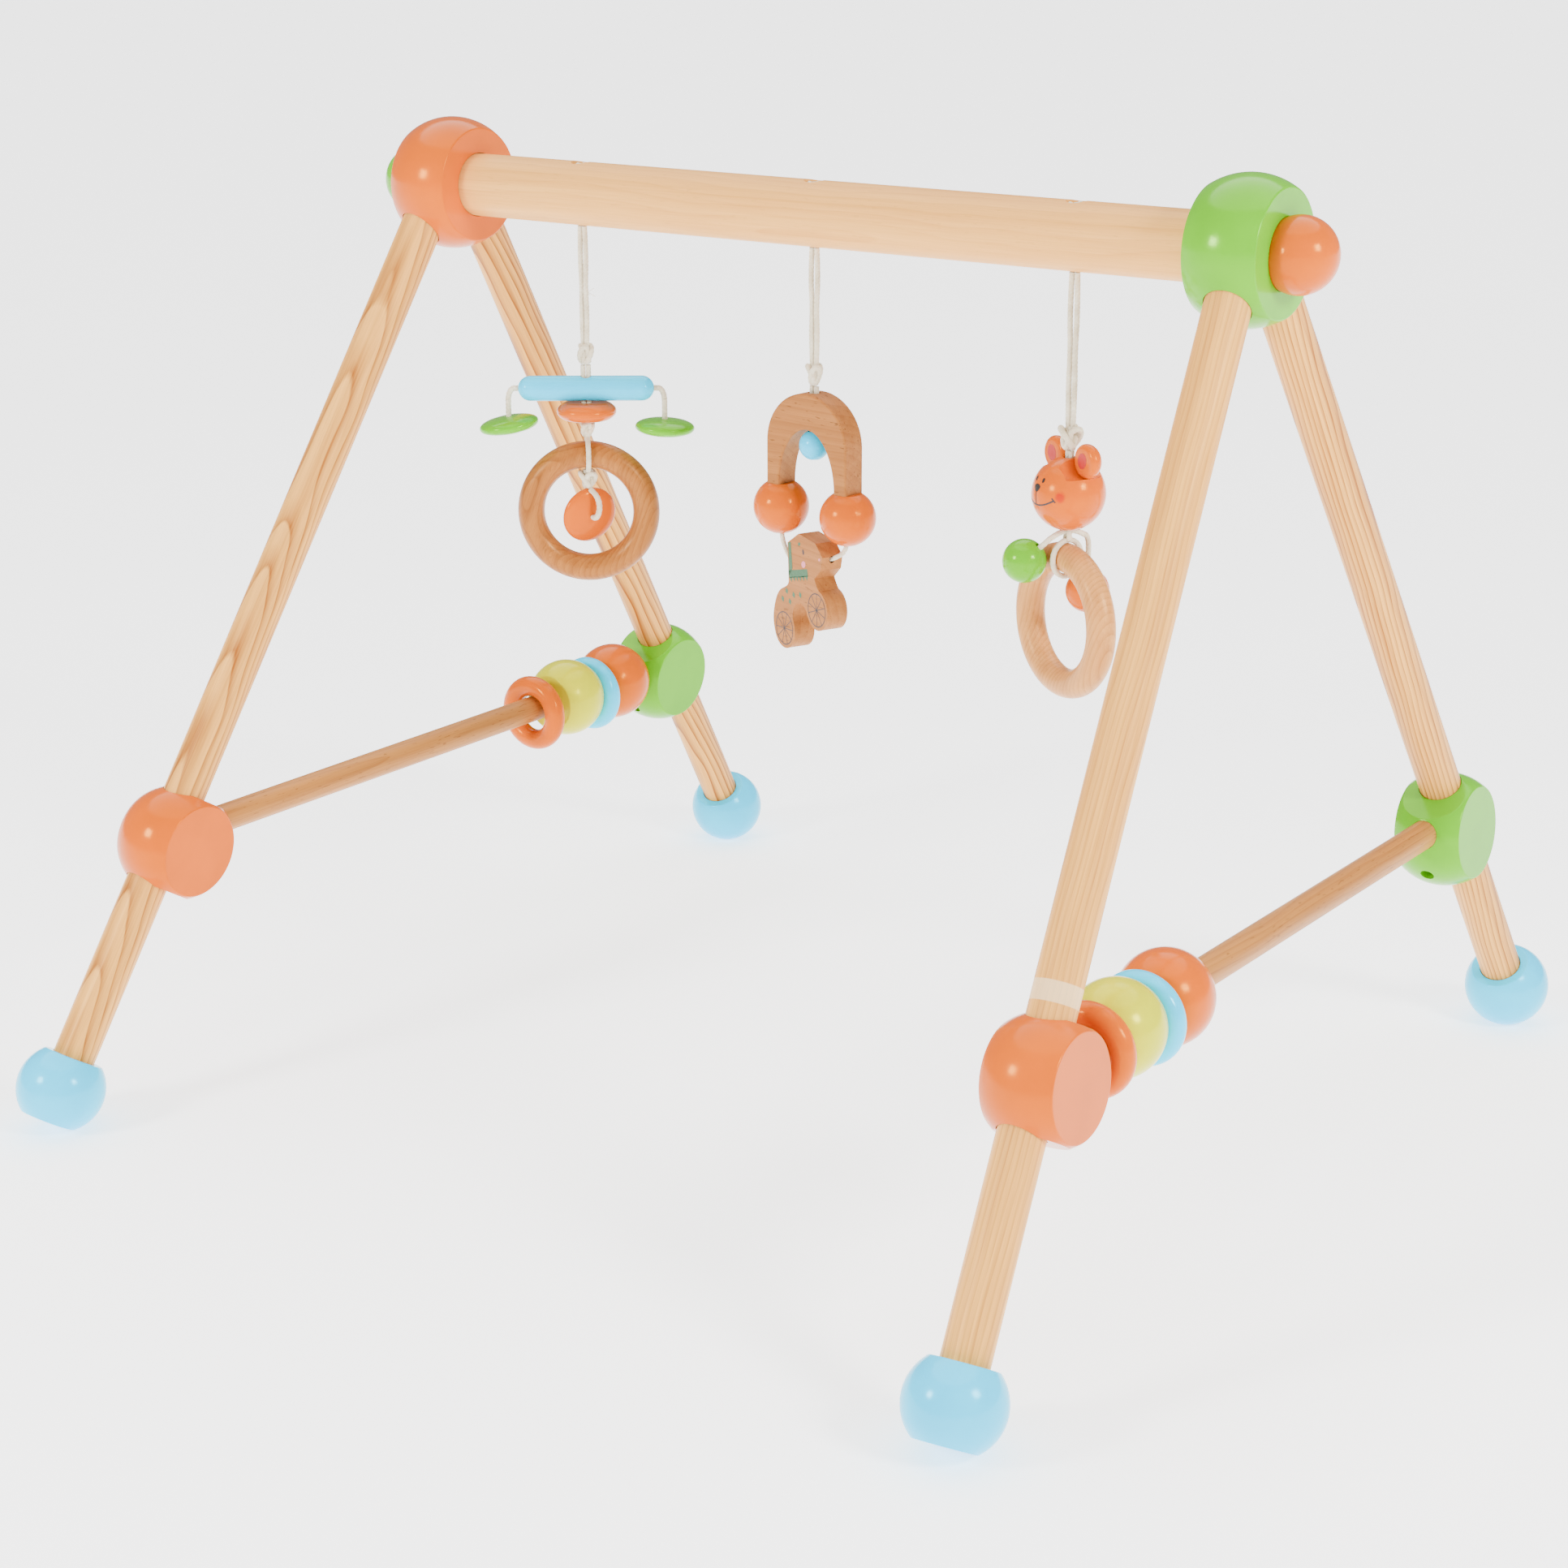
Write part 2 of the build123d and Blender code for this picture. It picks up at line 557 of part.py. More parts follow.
# the animal hangs nose up on a cord through its head
ANIMAL_TURN = -24.0
ANIMAL_PITCH = 27.0
ANIMAL_DEPTH = 12.0
HOLE_CENTRE = Vector(0.0, 0.0, 284.0)
HOLE_RISE = 17.5             # the head's bore, above the horizontal
WHEEL_R = 10.6
ANIMAL_CORD_BENDS = (4.0, 3.0, 2.6, 2.0)
WHEEL_BASE = 37.0
HEAD_HOLE = (35.5, 25.0)     # bore's middle, from the rear wheel centre in the animal's outline

animal_level = toy_plane(HOLE_CENTRE.X, ANIMAL_TURN, HOLE_CENTRE.Z, HOLE_CENTRE.Y)
broadside = pitched(upright(animal_level), ANIMAL_PITCH)
outline_origin = broadside.from_local_coords(Vector(-HEAD_HOLE[0], -HEAD_HOLE[1], 0))
outline = Plane(origin=outline_origin, x_dir=broadside.x_dir, z_dir=broadside.z_dir)
bore_line = pitched(upright(animal_level), HOLE_RISE)
bore = Plane(origin=HOLE_CENTRE, x_dir=bore_line.z_dir, z_dir=bore_line.x_dir)

with BuildPart() as wooden_animal:
    with BuildSketch(outline.offset(-ANIMAL_DEPTH / 2)):
        with Locations((0, 0), (WHEEL_BASE, 0)):
            Circle(WHEEL_R)
        with BuildLine():
            Spline((-WHEEL_R, 0), (-4.5, 14.0), (6.0, 19.8), (15.9, 21.5), tangents=((0, 1), (0.8, 1)))
            Line((15.9, 21.5), (24.0, 40.0))
            Line((24.0, 40.0), (37.2, 41.0))
            Line((37.2, 41.0), (51.5, 31.6))
            Line((51.5, 31.6), (55.0, 23.0))
            Line((55.0, 23.0), (50.5, 17.6))
            Line((50.5, 17.6), (42.0, 15.4))
            Spline((42.0, 15.4), (42.6, 11.4), (WHEEL_BASE + WHEEL_R, 0))
            Line((WHEEL_BASE + WHEEL_R, 0), (26.4, 0))
            ThreePointArc((26.4, 0), (18.5, 8.4), (WHEEL_R, 0))
            Line((WHEEL_R, 0), (-WHEEL_R, 0))
        make_face()
    extrude(amount=ANIMAL_DEPTH)
    hole(bore.offset(-40), CORD_R + 0.4, 80)
save(wooden_animal, "wooden_animal")

with BuildPart() as animal_cord:
    arch_level = toy_plane(0, ARCH_TURN, 0)
    left_ball = arch_level.origin - arch_level.x_dir * ARCH_BALL_X
    right_ball = arch_level.origin + arch_level.x_dir * ARCH_BALL_X
    ball_bottom = ARCH_BALL_Z - ARCH_BALL_R
    route = [left_ball + Vector(0, 0, ball_bottom + 6), left_ball + Vector(0, 0, ball_bottom - 5),
             HOLE_CENTRE - bore.z_dir * 21.0, HOLE_CENTRE + bore.z_dir * 20.5,
             right_ball + Vector(0, 0, ball_bottom - 2.5), right_ball + Vector(0, 0, ball_bottom + 6)]
    tube(route, ANIMAL_CORD_BENDS)
save(animal_cord, "animal_cord")

# ---- right toy: bear head, two small balls and a grasping ring ----
BEAR_TURN = -24.0
BEAR_R = 18.0
BEAR_Z = 339.5
RIGHT_KNOT_Z = 365.2
EAR_R = 8.4
EAR_LENGTH = 11.0
EAR_SIDE = 12.5
EAR_UP = 17.5
RIGHT_RING_TURN = -26.0
RIGHT_RING_Z = 276.4
RIGHT_KNOT_R = 5.8
RIGHT_KNOT_H = 4.6
SMALL_BALL_R = 10.8
BEAR_BOTTOM = BEAR_Z - BEAR_R
GREEN_BALL_AT = (-9.0, -18.6, 306.5)
ORANGE_BALL_AT = (0.0, 12.5, 290.0)
STUB_Z = BEAR_BOTTOM - 1.9   # cord stubs that carry the two small balls
STUB_END = 10.6

hanging_cord("right_cord", TOY_X, RIGHT_KNOT_Z, RIGHT_KNOT_R, RIGHT_KNOT_H)

with BuildPart() as right_inner_cord:
    neck_top = RIGHT_KNOT_Z - RIGHT_KNOT_H - GAP
    loop_top = RIGHT_RING_Z + RING_MAJOR + LOOP_R
    strands(toy_plane(TOY_X, RIGHT_RING_TURN, loop_top), neck_top - loop_top)
    ring_loop(TOY_X, RIGHT_RING_TURN, RIGHT_RING_Z)
    stub = upright(toy_plane(TOY_X, RIGHT_RING_TURN, STUB_Z))
    with BuildSketch(stub.offset(-STUB_END)):
        Circle(CORD_R)
    extrude(amount=2 * STUB_END)
save(right_inner_cord, "right_inner_cord")

bear_level = toy_plane(TOY_X, BEAR_TURN, BEAR_Z)


def ear_axis(side):
    """A bear ear's axis, pointing the way the face looks."""
    place = bear_level.from_local_coords(Vector(side * EAR_SIDE, 1.0, EAR_UP))
    return Plane(origin=place, x_dir=bear_level.x_dir, z_dir=-bear_level.y_dir)


with BuildPart(bear_level) as bear_head:
    Sphere(BEAR_R)
    Cylinder(CORD_HOLE_R, 3 * BEAR_R, mode=Mode.SUBTRACT)
    for side in SIDES.values():
        hole(ear_axis(side).offset(-EAR_LENGTH), EAR_R, 2 * EAR_LENGTH)
save(bear_head, "bear_head")

with BuildPart() as bear_ears:
    for side in SIDES.values():
        with BuildSketch(ear_axis(side).offset(-EAR_LENGTH / 2)):
            Circle(EAR_R)
        extrude(amount=EAR_LENGTH)
    fillet(bear_ears.edges().filter_by(GeomType.CIRCLE), 2.0)
save(bear_ears, "bear_ears")

ring_level = toy_plane(TOY_X, RIGHT_RING_TURN, 0)
for ball_name, place in {"green": GREEN_BALL_AT, "orange": ORANGE_BALL_AT}.items():
    centre = ring_level.from_local_coords(Vector(place))
    outward = math.copysign(STUB_END + CORD_R + GAP, place[1])
    start = ring_level.from_local_coords(Vector(0, outward, STUB_Z))
    towards = (centre - start).normalized()
    line = Plane(origin=start, z_dir=towards)
    length = (centre - start).length
    with BuildPart() as ball_cord:
        with BuildSketch(line):
            Circle(CORD_R)
        extrude(amount=length - 2)
    save(ball_cord, f"{ball_name}_ball_cord")
    along = Plane(origin=centre, z_dir=-towards)
    with BuildPart(along) as small_ball:
        Sphere(SMALL_BALL_R)
        with Locations((0, 0, 2)):
            Cylinder(CORD_R, 20, align=(Align.CENTER, Align.CENTER, Align.MIN), mode=Mode.SUBTRACT)
    save(small_ball, f"{ball_name}_ball")

grasp_ring("grasp_ring_right", TOY_X, RIGHT_RING_TURN, RIGHT_RING_Z)

print("cord arc radii, mm: spreader ends", SIDE_BEND, "ring disc", RING_CORD_BEND)
print("cord arc radii, mm: animal", *ANIMAL_CORD_BENDS, "loops round the rings", LOOP_R)
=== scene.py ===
import math

import bpy
from mathutils import Matrix, Vector


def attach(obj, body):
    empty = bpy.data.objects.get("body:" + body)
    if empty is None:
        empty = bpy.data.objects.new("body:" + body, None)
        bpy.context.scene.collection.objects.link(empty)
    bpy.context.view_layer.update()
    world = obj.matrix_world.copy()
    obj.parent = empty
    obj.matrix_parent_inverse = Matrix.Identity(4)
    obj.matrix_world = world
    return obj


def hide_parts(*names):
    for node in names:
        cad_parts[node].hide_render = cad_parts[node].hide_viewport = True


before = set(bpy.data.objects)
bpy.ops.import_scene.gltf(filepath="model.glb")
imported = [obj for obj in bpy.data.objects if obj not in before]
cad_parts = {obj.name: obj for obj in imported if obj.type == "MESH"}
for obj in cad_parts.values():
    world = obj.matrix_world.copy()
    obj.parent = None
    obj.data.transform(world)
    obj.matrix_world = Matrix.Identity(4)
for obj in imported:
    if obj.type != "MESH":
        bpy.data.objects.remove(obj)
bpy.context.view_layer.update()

# Wooden baby activity gym. Metres, +Z up, X along the crossbar, -Y is the front.

MM = 0.001
CORD_R = 1.4 * MM
DISC_R, DISC_HALF_H, GREEN_DISC_Z = 16.0, 4.5, 339.5   # millimetres, as in the cut parts
LEFT_X, MIDDLE_X, RIGHT_X = -0.150, 0.0, 0.150
LEFT_TURN, ARCH_TURN, ANIMAL_TURN, BEAR_TURN, RIGHT_RING_TURN = 36.0, -5.5, -24.0, -24.0, -26.0
SIDES = {"left": -1, "right": 1}
ENDS = {"front": -1, "back": 1}
FRAME = "frame"


# ---- camera ----
def make_camera():
    """The view of the whole gym from the front right."""
    azimuth, elevation, roll = (math.radians(a) for a in (36.043, 17.940, -0.148))
    forward = Vector((-math.sin(azimuth) * math.cos(elevation),
                      math.cos(azimuth) * math.cos(elevation), -math.sin(elevation)))
    right = forward.cross(Vector((0, 0, 1))).normalized()
    down = forward.cross(right).normalized()
    c, s = math.cos(roll), math.sin(roll)
    x = c * right - s * down
    y = -(s * right + c * down)
    data = bpy.data.cameras.new("camera")
    data.sensor_width = 36.0
    data.lens = 67.29
    data.clip_start = 0.05
    data.clip_end = 100.0
    camera = bpy.data.objects.new("camera", data)
    turn = Matrix((x, y, -forward)).transposed().to_4x4()
    camera.matrix_world = Matrix.Translation((0.85254, -1.19851, 0.64061)) @ turn
    bpy.context.scene.collection.objects.link(camera)
    bpy.context.scene.camera = camera


make_camera()


# ---- materials ----
def tint(r, g, b):
    """A linear surface colour."""
    return (r, g, b, 1.0)


class Shader:
    """A material's node tree, with short ways to add what the finishes here are made of."""

    def __init__(self, name):
        self.material = bpy.data.materials.new(name)
        self.material.use_nodes = True
        self.tree = self.material.node_tree
        self.tree.nodes.clear()
        self.out = self.tree.nodes.new("ShaderNodeOutputMaterial")
        self.bsdf = self.tree.nodes.new("ShaderNodeBsdfPrincipled")
        self.link(self.bsdf.outputs[0], self.out.inputs[0])
        self.place = self.tree.nodes.new("ShaderNodeTexCoord").outputs["Object"]

    def link(self, source, socket):
        self.tree.links.new(source, socket)

    def feed(self, value, socket):
        if isinstance(value, bpy.types.NodeSocket):
            self.link(value, socket)
        else:
            socket.default_value = value

    def set(self, **values):
        for key, value in values.items():
            self.feed(value, self.bsdf.inputs[key.replace("_", " ").title()])

    def math(self, operation, a, b=0.0):
        node = self.tree.nodes.new("ShaderNodeMath")
        node.operation = operation
        self.feed(a, node.inputs[0])
        self.feed(b, node.inputs[1])
        return node.outputs[0]

    def vector(self, operation, a, b, output=0):
        node = self.tree.nodes.new("ShaderNodeVectorMath")
        node.operation = operation
        self.feed(a, node.inputs[0])
        self.feed(b, node.inputs[1])
        return node.outputs[output]

    def combine(self, x, y, z):
        node = self.tree.nodes.new("ShaderNodeCombineXYZ")
        for value, socket in zip((x, y, z), node.inputs):
            self.feed(value, socket)
        return node.outputs[0]

    def noise(self, place, scale, detail=2.0, rough=0.5):
        node = self.tree.nodes.new("ShaderNodeTexNoise")
        self.feed(place, node.inputs["Vector"])
        node.inputs["Scale"].default_value = scale
        node.inputs["Detail"].default_value = detail
        node.inputs["Roughness"].default_value = rough
        return node.outputs[0]

    def span(self, value, low, high, to_low=0.0, to_high=1.0, smooth=False):
        node = self.tree.nodes.new("ShaderNodeMapRange")
        node.interpolation_type = "SMOOTHSTEP" if smooth else "LINEAR"
        for v, socket in zip((value, low, high, to_low, to_high), node.inputs):
            self.feed(v, socket)
        return node.outputs[0]

    def mix(self, share, a, b, blend="MIX"):
        node = self.tree.nodes.new("ShaderNodeMix")
        node.data_type = "RGBA"
        node.blend_type = blend
        self.feed(share, node.inputs[0])
        self.feed(a, node.inputs[6])
        self.feed(b, node.inputs[7])
        return node.outputs[2]

    def ramp(self, share, stops):
        node = self.tree.nodes.new("ShaderNodeValToRGB")
        while len(node.color_ramp.elements) < len(stops):
            node.color_ramp.elements.new(0.5)
        for element, (at, value) in zip(node.color_ramp.elements, stops):
            element.position = at
            element.color = (value, value, value, 1.0)
        self.feed(share, node.inputs[0])
        return node.outputs[0]

    def bump(self, height, depth, under=None):
        node = self.tree.nodes.new("ShaderNodeBump")
        node.inputs["Strength"].default_value = 1.0
        node.inputs["Distance"].default_value = depth
        self.feed(height, node.inputs["Height"])
        if under is not None:
            self.link(under, node.inputs["Normal"])
        return node.outputs[0]


def lacquer(name, colour, gleam, blush=()):
    """Sprayed gloss lacquer: a little uneven in tone and gloss, with a faint orange peel."""
    s = Shader(name)
    broad = s.noise(s.place, 38.0, 3.0)
    peel = s.noise(s.place, 700.0, 2.0)
    dark = tuple(0.93 * c for c in colour[:3]) + (1.0,)
    light = tuple(min(1.0, 1.03 * c) for c in colour[:3]) + (1.0,)
    tone = s.mix(s.span(broad, 0.35, 0.65), dark, light)
    for centre, radius, red in blush:
        far = s.vector("DISTANCE", s.place, centre, 1)
        ragged = s.math("ADD", far, s.math("MULTIPLY", s.noise(s.place, 900.0, 2.0), 0.0012))
        tone = s.mix(s.span(ragged, radius * 0.55, radius * 1.25, 0.85, 0.0, True), tone, red)
    s.set(base_color=tone, roughness=s.span(broad, 0.3, 0.7, 0.15, 0.21), specular_tint=gleam)
    s.bsdf.inputs["Specular IOR Level"].default_value = 0.42
    s.set(normal=s.bump(peel, 0.02 * MM))
    return s.material


def wood(name, origin, along, pale, dark, pith=(0.02, 0.01), ring=2.6 * MM, taper=0.03,
         figure=0.8, flecks=0.0, gloss=0.36, band=None):
    """Varnished wood: growth rings about a pith beside the piece, fibres, and beech flecks."""
    s = Shader(name)
    along = Vector(along).normalized()
    side = along.cross(Vector((0, 0, 1)) if abs(along.z) < 0.9 else Vector((1, 0, 0))).normalized()
    other = along.cross(side)
    here = s.vector("SUBTRACT", s.place, tuple(origin))
    u = s.vector("DOT_PRODUCT", here, tuple(side), 1)
    v = s.vector("DOT_PRODUCT", here, tuple(other), 1)
    w = s.vector("DOT_PRODUCT", here, tuple(along), 1)

    def stretched(cross, lengthwise):
        """Places scaled more across the piece than along it."""
        scaled = (s.math("MULTIPLY", value, by) for value, by in ((u, cross), (v, cross), (w, lengthwise)))
        return s.combine(*scaled)

    slow = stretched(22.0, 7.0)
    warp = s.math("MULTIPLY", s.math("SUBTRACT", s.noise(slow, 1.0, 2.0), 0.5), 4.2 * ring)
    across = s.combine(s.math("SUBTRACT", u, pith[0]), s.math("SUBTRACT", v, pith[1]), 0.0)
    reach = s.vector("LENGTH", across, (0, 0, 0), 1)
    reach = s.math("ADD", reach, s.math("ADD", warp, s.math("MULTIPLY", w, taper)))
    phase = s.math("FRACT", s.math("DIVIDE", reach, ring))
    late = s.ramp(phase, ((0.0, 0.05), (0.45, 0.16), (0.80, 0.62), (0.93, 1.0), (1.0, 0.10)))
    fine = stretched(1500.0, 28.0)
    fibre = s.noise(fine, 1.0, 3.0, 0.6)
    wide = stretched(170.0, 4.0)
    streak = s.noise(wide, 1.0, 2.0)
    share = s.math("MULTIPLY", late, figure)
    share = s.math("ADD", share, s.span(fibre, 0.35, 0.75, 0.0, 0.26))
    share = s.math("ADD", share, s.span(streak, 0.35, 0.70, 0.0, 0.30))
    tone = s.mix(share, pale, dark)
    if flecks:
        dash = stretched(900.0, 170.0)
        spot = s.noise(dash, 1.0, 1.0)
        brown = tuple(0.42 * c for c in dark[:3]) + (1.0,)
        tone = s.mix(s.span(spot, 0.66, 0.74, 0.0, flecks, True), tone, brown)
    if band:
        low, high = band
        entering = s.span(w, low - 0.4 * MM, low, 0.0, 1.0)
        leaving = s.span(w, high, high + 0.3 * MM, 1.0, 0.0)
        inside = s.math("MULTIPLY", entering, leaving)
        tone = s.mix(s.math("MULTIPLY", inside, 0.62), tone, tint(0.95, 0.72, 0.42))
    s.set(base_color=tone, roughness=s.span(streak, 0.3, 0.7, gloss, gloss + 0.1))
    s.set(specular_tint=tint(1.0, 0.62, 0.25))
    s.bsdf.inputs["Specular IOR Level"].default_value = 0.38
    grain = s.bump(fibre, 0.035 * MM)
    s.set(normal=s.bump(late, 0.02 * MM, grain))
    return s.material


def turned_ring(name, centre, normal, pale, dark, flecks=0.3):
    """A grasping ring cut from a board: its grain runs across the ring, so the tube shows contours."""
    up = Vector((0, 0, 1))
    level = Vector(normal).cross(up).normalized()
    lean = (0.35 * level + 0.94 * up).normalized()
    return wood(name, centre, lean, pale, dark, pith=(0.004, 0.030), ring=2.4 * MM, taper=0.0,
                figure=0.36, flecks=flecks, gloss=0.26)


def cotton(name):
    """Soft off-white cotton yarn with a fuzzy, uneven surface, and painted shade in the hollows of the fuzz.
    """
    s = Shader(name)
    tuft = s.noise(s.place, 2600.0, 3.0, 0.65)
    soil = s.noise(s.place, 120.0, 2.0)
    tone = s.mix(s.span(soil, 0.3, 0.7), tint(0.66, 0.57, 0.40), tint(0.86, 0.78, 0.60))
    # painted shade: where the fuzz bump is low (low tuft values) the cord is painted darker brown
    tone = s.mix(s.span(tuft, 0.3, 0.6, 0.35, 0.0), tone, tint(0.40, 0.33, 0.22))
    s.set(base_color=tone, roughness=0.92)
    s.bsdf.inputs["Sheen Weight"].default_value = 0.35
    s.bsdf.inputs["Subsurface Weight"].default_value = 0.12
    s.bsdf.inputs["Subsurface Radius"].default_value = (0.0006, 0.0005, 0.0004)
    s.set(normal=s.bump(tuft, 0.12 * MM))
    return s.material


def zinc(name):
    """Zinc plate, finely scratched."""
    s = Shader(name)
    wear = s.noise(s.place, 420.0, 4.0, 0.7)
    s.set(base_color=s.mix(wear, tint(0.30, 0.29, 0.26), tint(0.60, 0.59, 0.55)), metallic=1.0)
    s.set(roughness=s.span(wear, 0.3, 0.7, 0.28, 0.5), normal=s.bump(wear, 0.02 * MM))
    return s.material


def paint(name, colour, worn=0.25):
    """Printed or brushed paint on wood, thin enough for the grain to break it up."""
    s = Shader(name)
    grain = s.noise(s.place, 1300.0, 3.0, 0.7)
    light = tuple(c + 0.22 * (1.0 - c) for c in colour[:3]) + (1.0,)
    s.set(base_color=s.mix(s.span(grain, 0.45, 0.75, 0.0, worn), colour, light))
    s.set(roughness=s.span(grain, 0.3, 0.7, 0.4, 0.55), normal=s.bump(grain, 0.02 * MM))
    return s.material


ORANGE = tint(0.66, 0.112, 0.0)
GREEN = tint(0.110, 0.430, 0.001)
BLUE = tint(0.0, 0.62, 1.0)
YELLOW = tint(0.62, 0.62, 0.0)
PALE_BEECH, WARM_BEECH = tint(0.92, 0.46, 0.115), tint(0.62, 0.24, 0.040)
PALE_PINE, DARK_PINE = tint(0.97, 0.48, 0.105), tint(0.30, 0.080, 0.008)


def turn(angle):
    """The level axes of something turned about the vertical: lateral, then away from its face."""
    a = math.radians(angle)
    return Vector((math.cos(a), math.sin(a), 0)), Vector((-math.sin(a), math.cos(a), 0))


bear_x, bear_y = turn(BEAR_TURN)
BEAR_CENTRE = Vector((RIGHT_X, 0, 339.5 * MM))
BEAR_R = 18.0 * MM


def on_bear(x, z, lift=0.0):
    """A point on the bear's face from its place across and up it, in millimetres."""
    x, z = x * MM, z * MM
    depth = math.sqrt(BEAR_R**2 - x * x - z * z)
    out = (bear_x * x - bear_y * depth + Vector((0, 0, z))).normalized()
    return BEAR_CENTRE + out * (BEAR_R + lift)


RED = tint(0.52, 0.010, 0.004)
cheeks = [(tuple(on_bear(x, 1.4)), 3.3 * MM, RED) for x in (-13.4, 11.8)]

warm_gleam = tint(1.0, 0.42, 0.06)
orange = lacquer("orange lacquer", ORANGE, warm_gleam)
green = lacquer("green lacquer", GREEN, tint(0.55, 1.0, 0.20))
blue = lacquer("blue lacquer", BLUE, tint(0.30, 0.80, 1.0))
yellow = lacquer("yellow lacquer", YELLOW, tint(1.0, 0.95, 0.12))
bear_orange = lacquer("bear lacquer", ORANGE, warm_gleam, cheeks)
cord_cotton = cotton("cotton cord")
plated = zinc("zinc plate")
dark_paint = paint("dark brown paint", tint(0.030, 0.010, 0.006))
black_paint = paint("black paint", tint(0.006, 0.004, 0.004), 0.1)
red_paint = paint("red paint", tint(0.45, 0.006, 0.004), 0.1)
green_paint = paint("green paint", tint(0.012, 0.110, 0.030))
pink_paint = paint("pink paint", tint(0.72, 0.20, 0.26))


def leg_line(side, end):
    """The apex of a leg's axis and its direction down to the foot."""
    return Vector((side * 0.240, 0, 0.478)), Vector((side * 36.0, end * 287.0, -456.0)).normalized()


LEG_FIGURE = {
    "front_left": dict(pith=(0.006, 0.019), ring=3.1 * MM, taper=0.050, figure=0.62),
    "front_right": dict(pith=(0.034, -0.020), ring=2.4 * MM, taper=0.006, figure=0.30, band=(0.3595, 0.3685)),
    "back_left": dict(pith=(0.010, -0.012), ring=3.6 * MM, taper=0.036, figure=0.85),
    "back_right": dict(pith=(-0.014, 0.016), ring=2.5 * MM, taper=0.034, figure=0.72),
}


# ---- meshes ----
def make_object(name, body, vertices, faces, material, smooth=True):
    name = name.replace(" ", "_")
    mesh = bpy.data.meshes.new(name)
    mesh.from_pydata([tuple(v) for v in vertices], [], faces)
    mesh.update()
    for face in mesh.polygons:
        face.use_smooth = smooth
    mesh.materials.append(material)
    made = bpy.data.objects.new(name, mesh)
    bpy.context.scene.collection.objects.link(made)
    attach(made, body)
    return made


def spline_points(route, steps=14):
    """The smooth line of a cord: a NURBS spline with the route's points as its control points."""
    curve = bpy.data.curves.new("route", "CURVE")
    curve.dimensions = "3D"
    curve.resolution_u = steps
    spline = curve.splines.new("NURBS")
    spline.points.add(len(route) - 1)
    for point, place in zip(spline.points, route):
        point.co = (*place, 1.0)
    spline.order_u = 3
    spline.use_endpoint_u = True
    carrier = bpy.data.objects.new("route", curve)
    bpy.context.scene.collection.objects.link(carrier)
    bpy.context.view_layer.update()
    line = bpy.data.meshes.new_from_object(carrier)
    points = [v.co.copy() for v in line.vertices]
    bpy.data.objects.remove(carrier)
    bpy.data.curves.remove(curve)
    bpy.data.meshes.remove(line)
    return points


def line_length(points):
    return sum((b - a).length for a, b in zip(points, points[1:]))


def evenly(points, step):
    """The same line with points at an even spacing."""
    total = line_length(points)
    count = max(2, round(total / step))
    result, index, walked = [], 0, 0.0
    for i in range(count + 1):
        goal = total * i / count
        while index < len(points) - 2 and walked + (points[index + 1] - points[index]).length < goal:
            walked += (points[index + 1] - points[index]).length
            index += 1
        run = points[index + 1] - points[index]
        result.append(points[index] + run * ((goal - walked) / max(run.length, 1e-9)))
    return result


def tube(vertices, faces, points, radius, closed=False, sides=20, lay=6.5 * MM, groove=0.13):
    """Adds a laid cord of three yarns along points: a tube whose radius dips between the yarns."""
    start = len(vertices)
    count = len(points)
    axis = (points[1] - points[0]).normalized()
    across = axis.orthogonal().normalized()
    walked = 0.0
    for i, place in enumerate(points):
        before = points[i - 1] if i or closed else place
        after = points[(i + 1) % count] if i < count - 1 or closed else place
        axis = (after - before).normalized()
        across = (across - axis * across.dot(axis)).normalized()
        other = axis.cross(across)
        walked += (place - before).length if i else 0.0
        for k in range(sides):
            angle = 2 * math.pi * k / sides
            yarn = abs(math.cos(1.5 * (angle - 2 * math.pi * walked / lay)))
            reach = radius * (1.0 - groove + groove * yarn)
            vertices.append(place + reach * (math.cos(angle) * across + math.sin(angle) * other))
    for i in range(count if closed else count - 1):
        low, high = start + i * sides, start + ((i + 1) % count) * sides
        for k in range(sides):
            n = (k + 1) % sides
            faces.append((low + k, low + n, high + n, high + k))
    if not closed:
        faces.append(tuple(start + k for k in reversed(range(sides))))
        faces.append(tuple(start + (count - 1) * sides + k for k in range(sides)))


def cord_piece(name, body, route, node, radius=CORD_R, lay=6.5 * MM):
    """A laid cotton cord along a route, standing for its CAD node. Returns it and its line."""
    line = spline_points(route)
    vertices, faces = [], []
    tube(vertices, faces, evenly(line, 0.35 * MM), radius, lay=lay)
    made = make_object(name, body, vertices, faces, cord_cotton)
    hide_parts(node)
    return made, line


def knot_piece(name, body, centre, radius, half_height, node, spin=0.0, tube_radius=CORD_R):
    """A tied overhand knot: a trefoil of cord drawn tight, squeezed into the knot's size."""
    vertices, faces, points = [], [], []
    wide = (radius - tube_radius) / 3.0
    tall = half_height - tube_radius
    for i in range(150):
        t = 2 * math.pi * i / 150
        reach = (2.0 + math.cos(3 * t)) * wide
        a = 2 * t + spin
        height = tall * math.sin(3 * t + spin)
        points.append(centre + Vector((reach * math.cos(a), reach * math.sin(a), height)))
    tube(vertices, faces, points, tube_radius, closed=True, sides=16)
    core = [centre + Vector((0, 0, z * half_height)) for z in (-0.9, -0.4, 0.1, 0.5, 0.9)]
    tube(vertices, faces, core, 1.15 * tube_radius, sides=12)
    made = make_object(name, body, vertices, faces, cord_cotton)
    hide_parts(node)
    return made


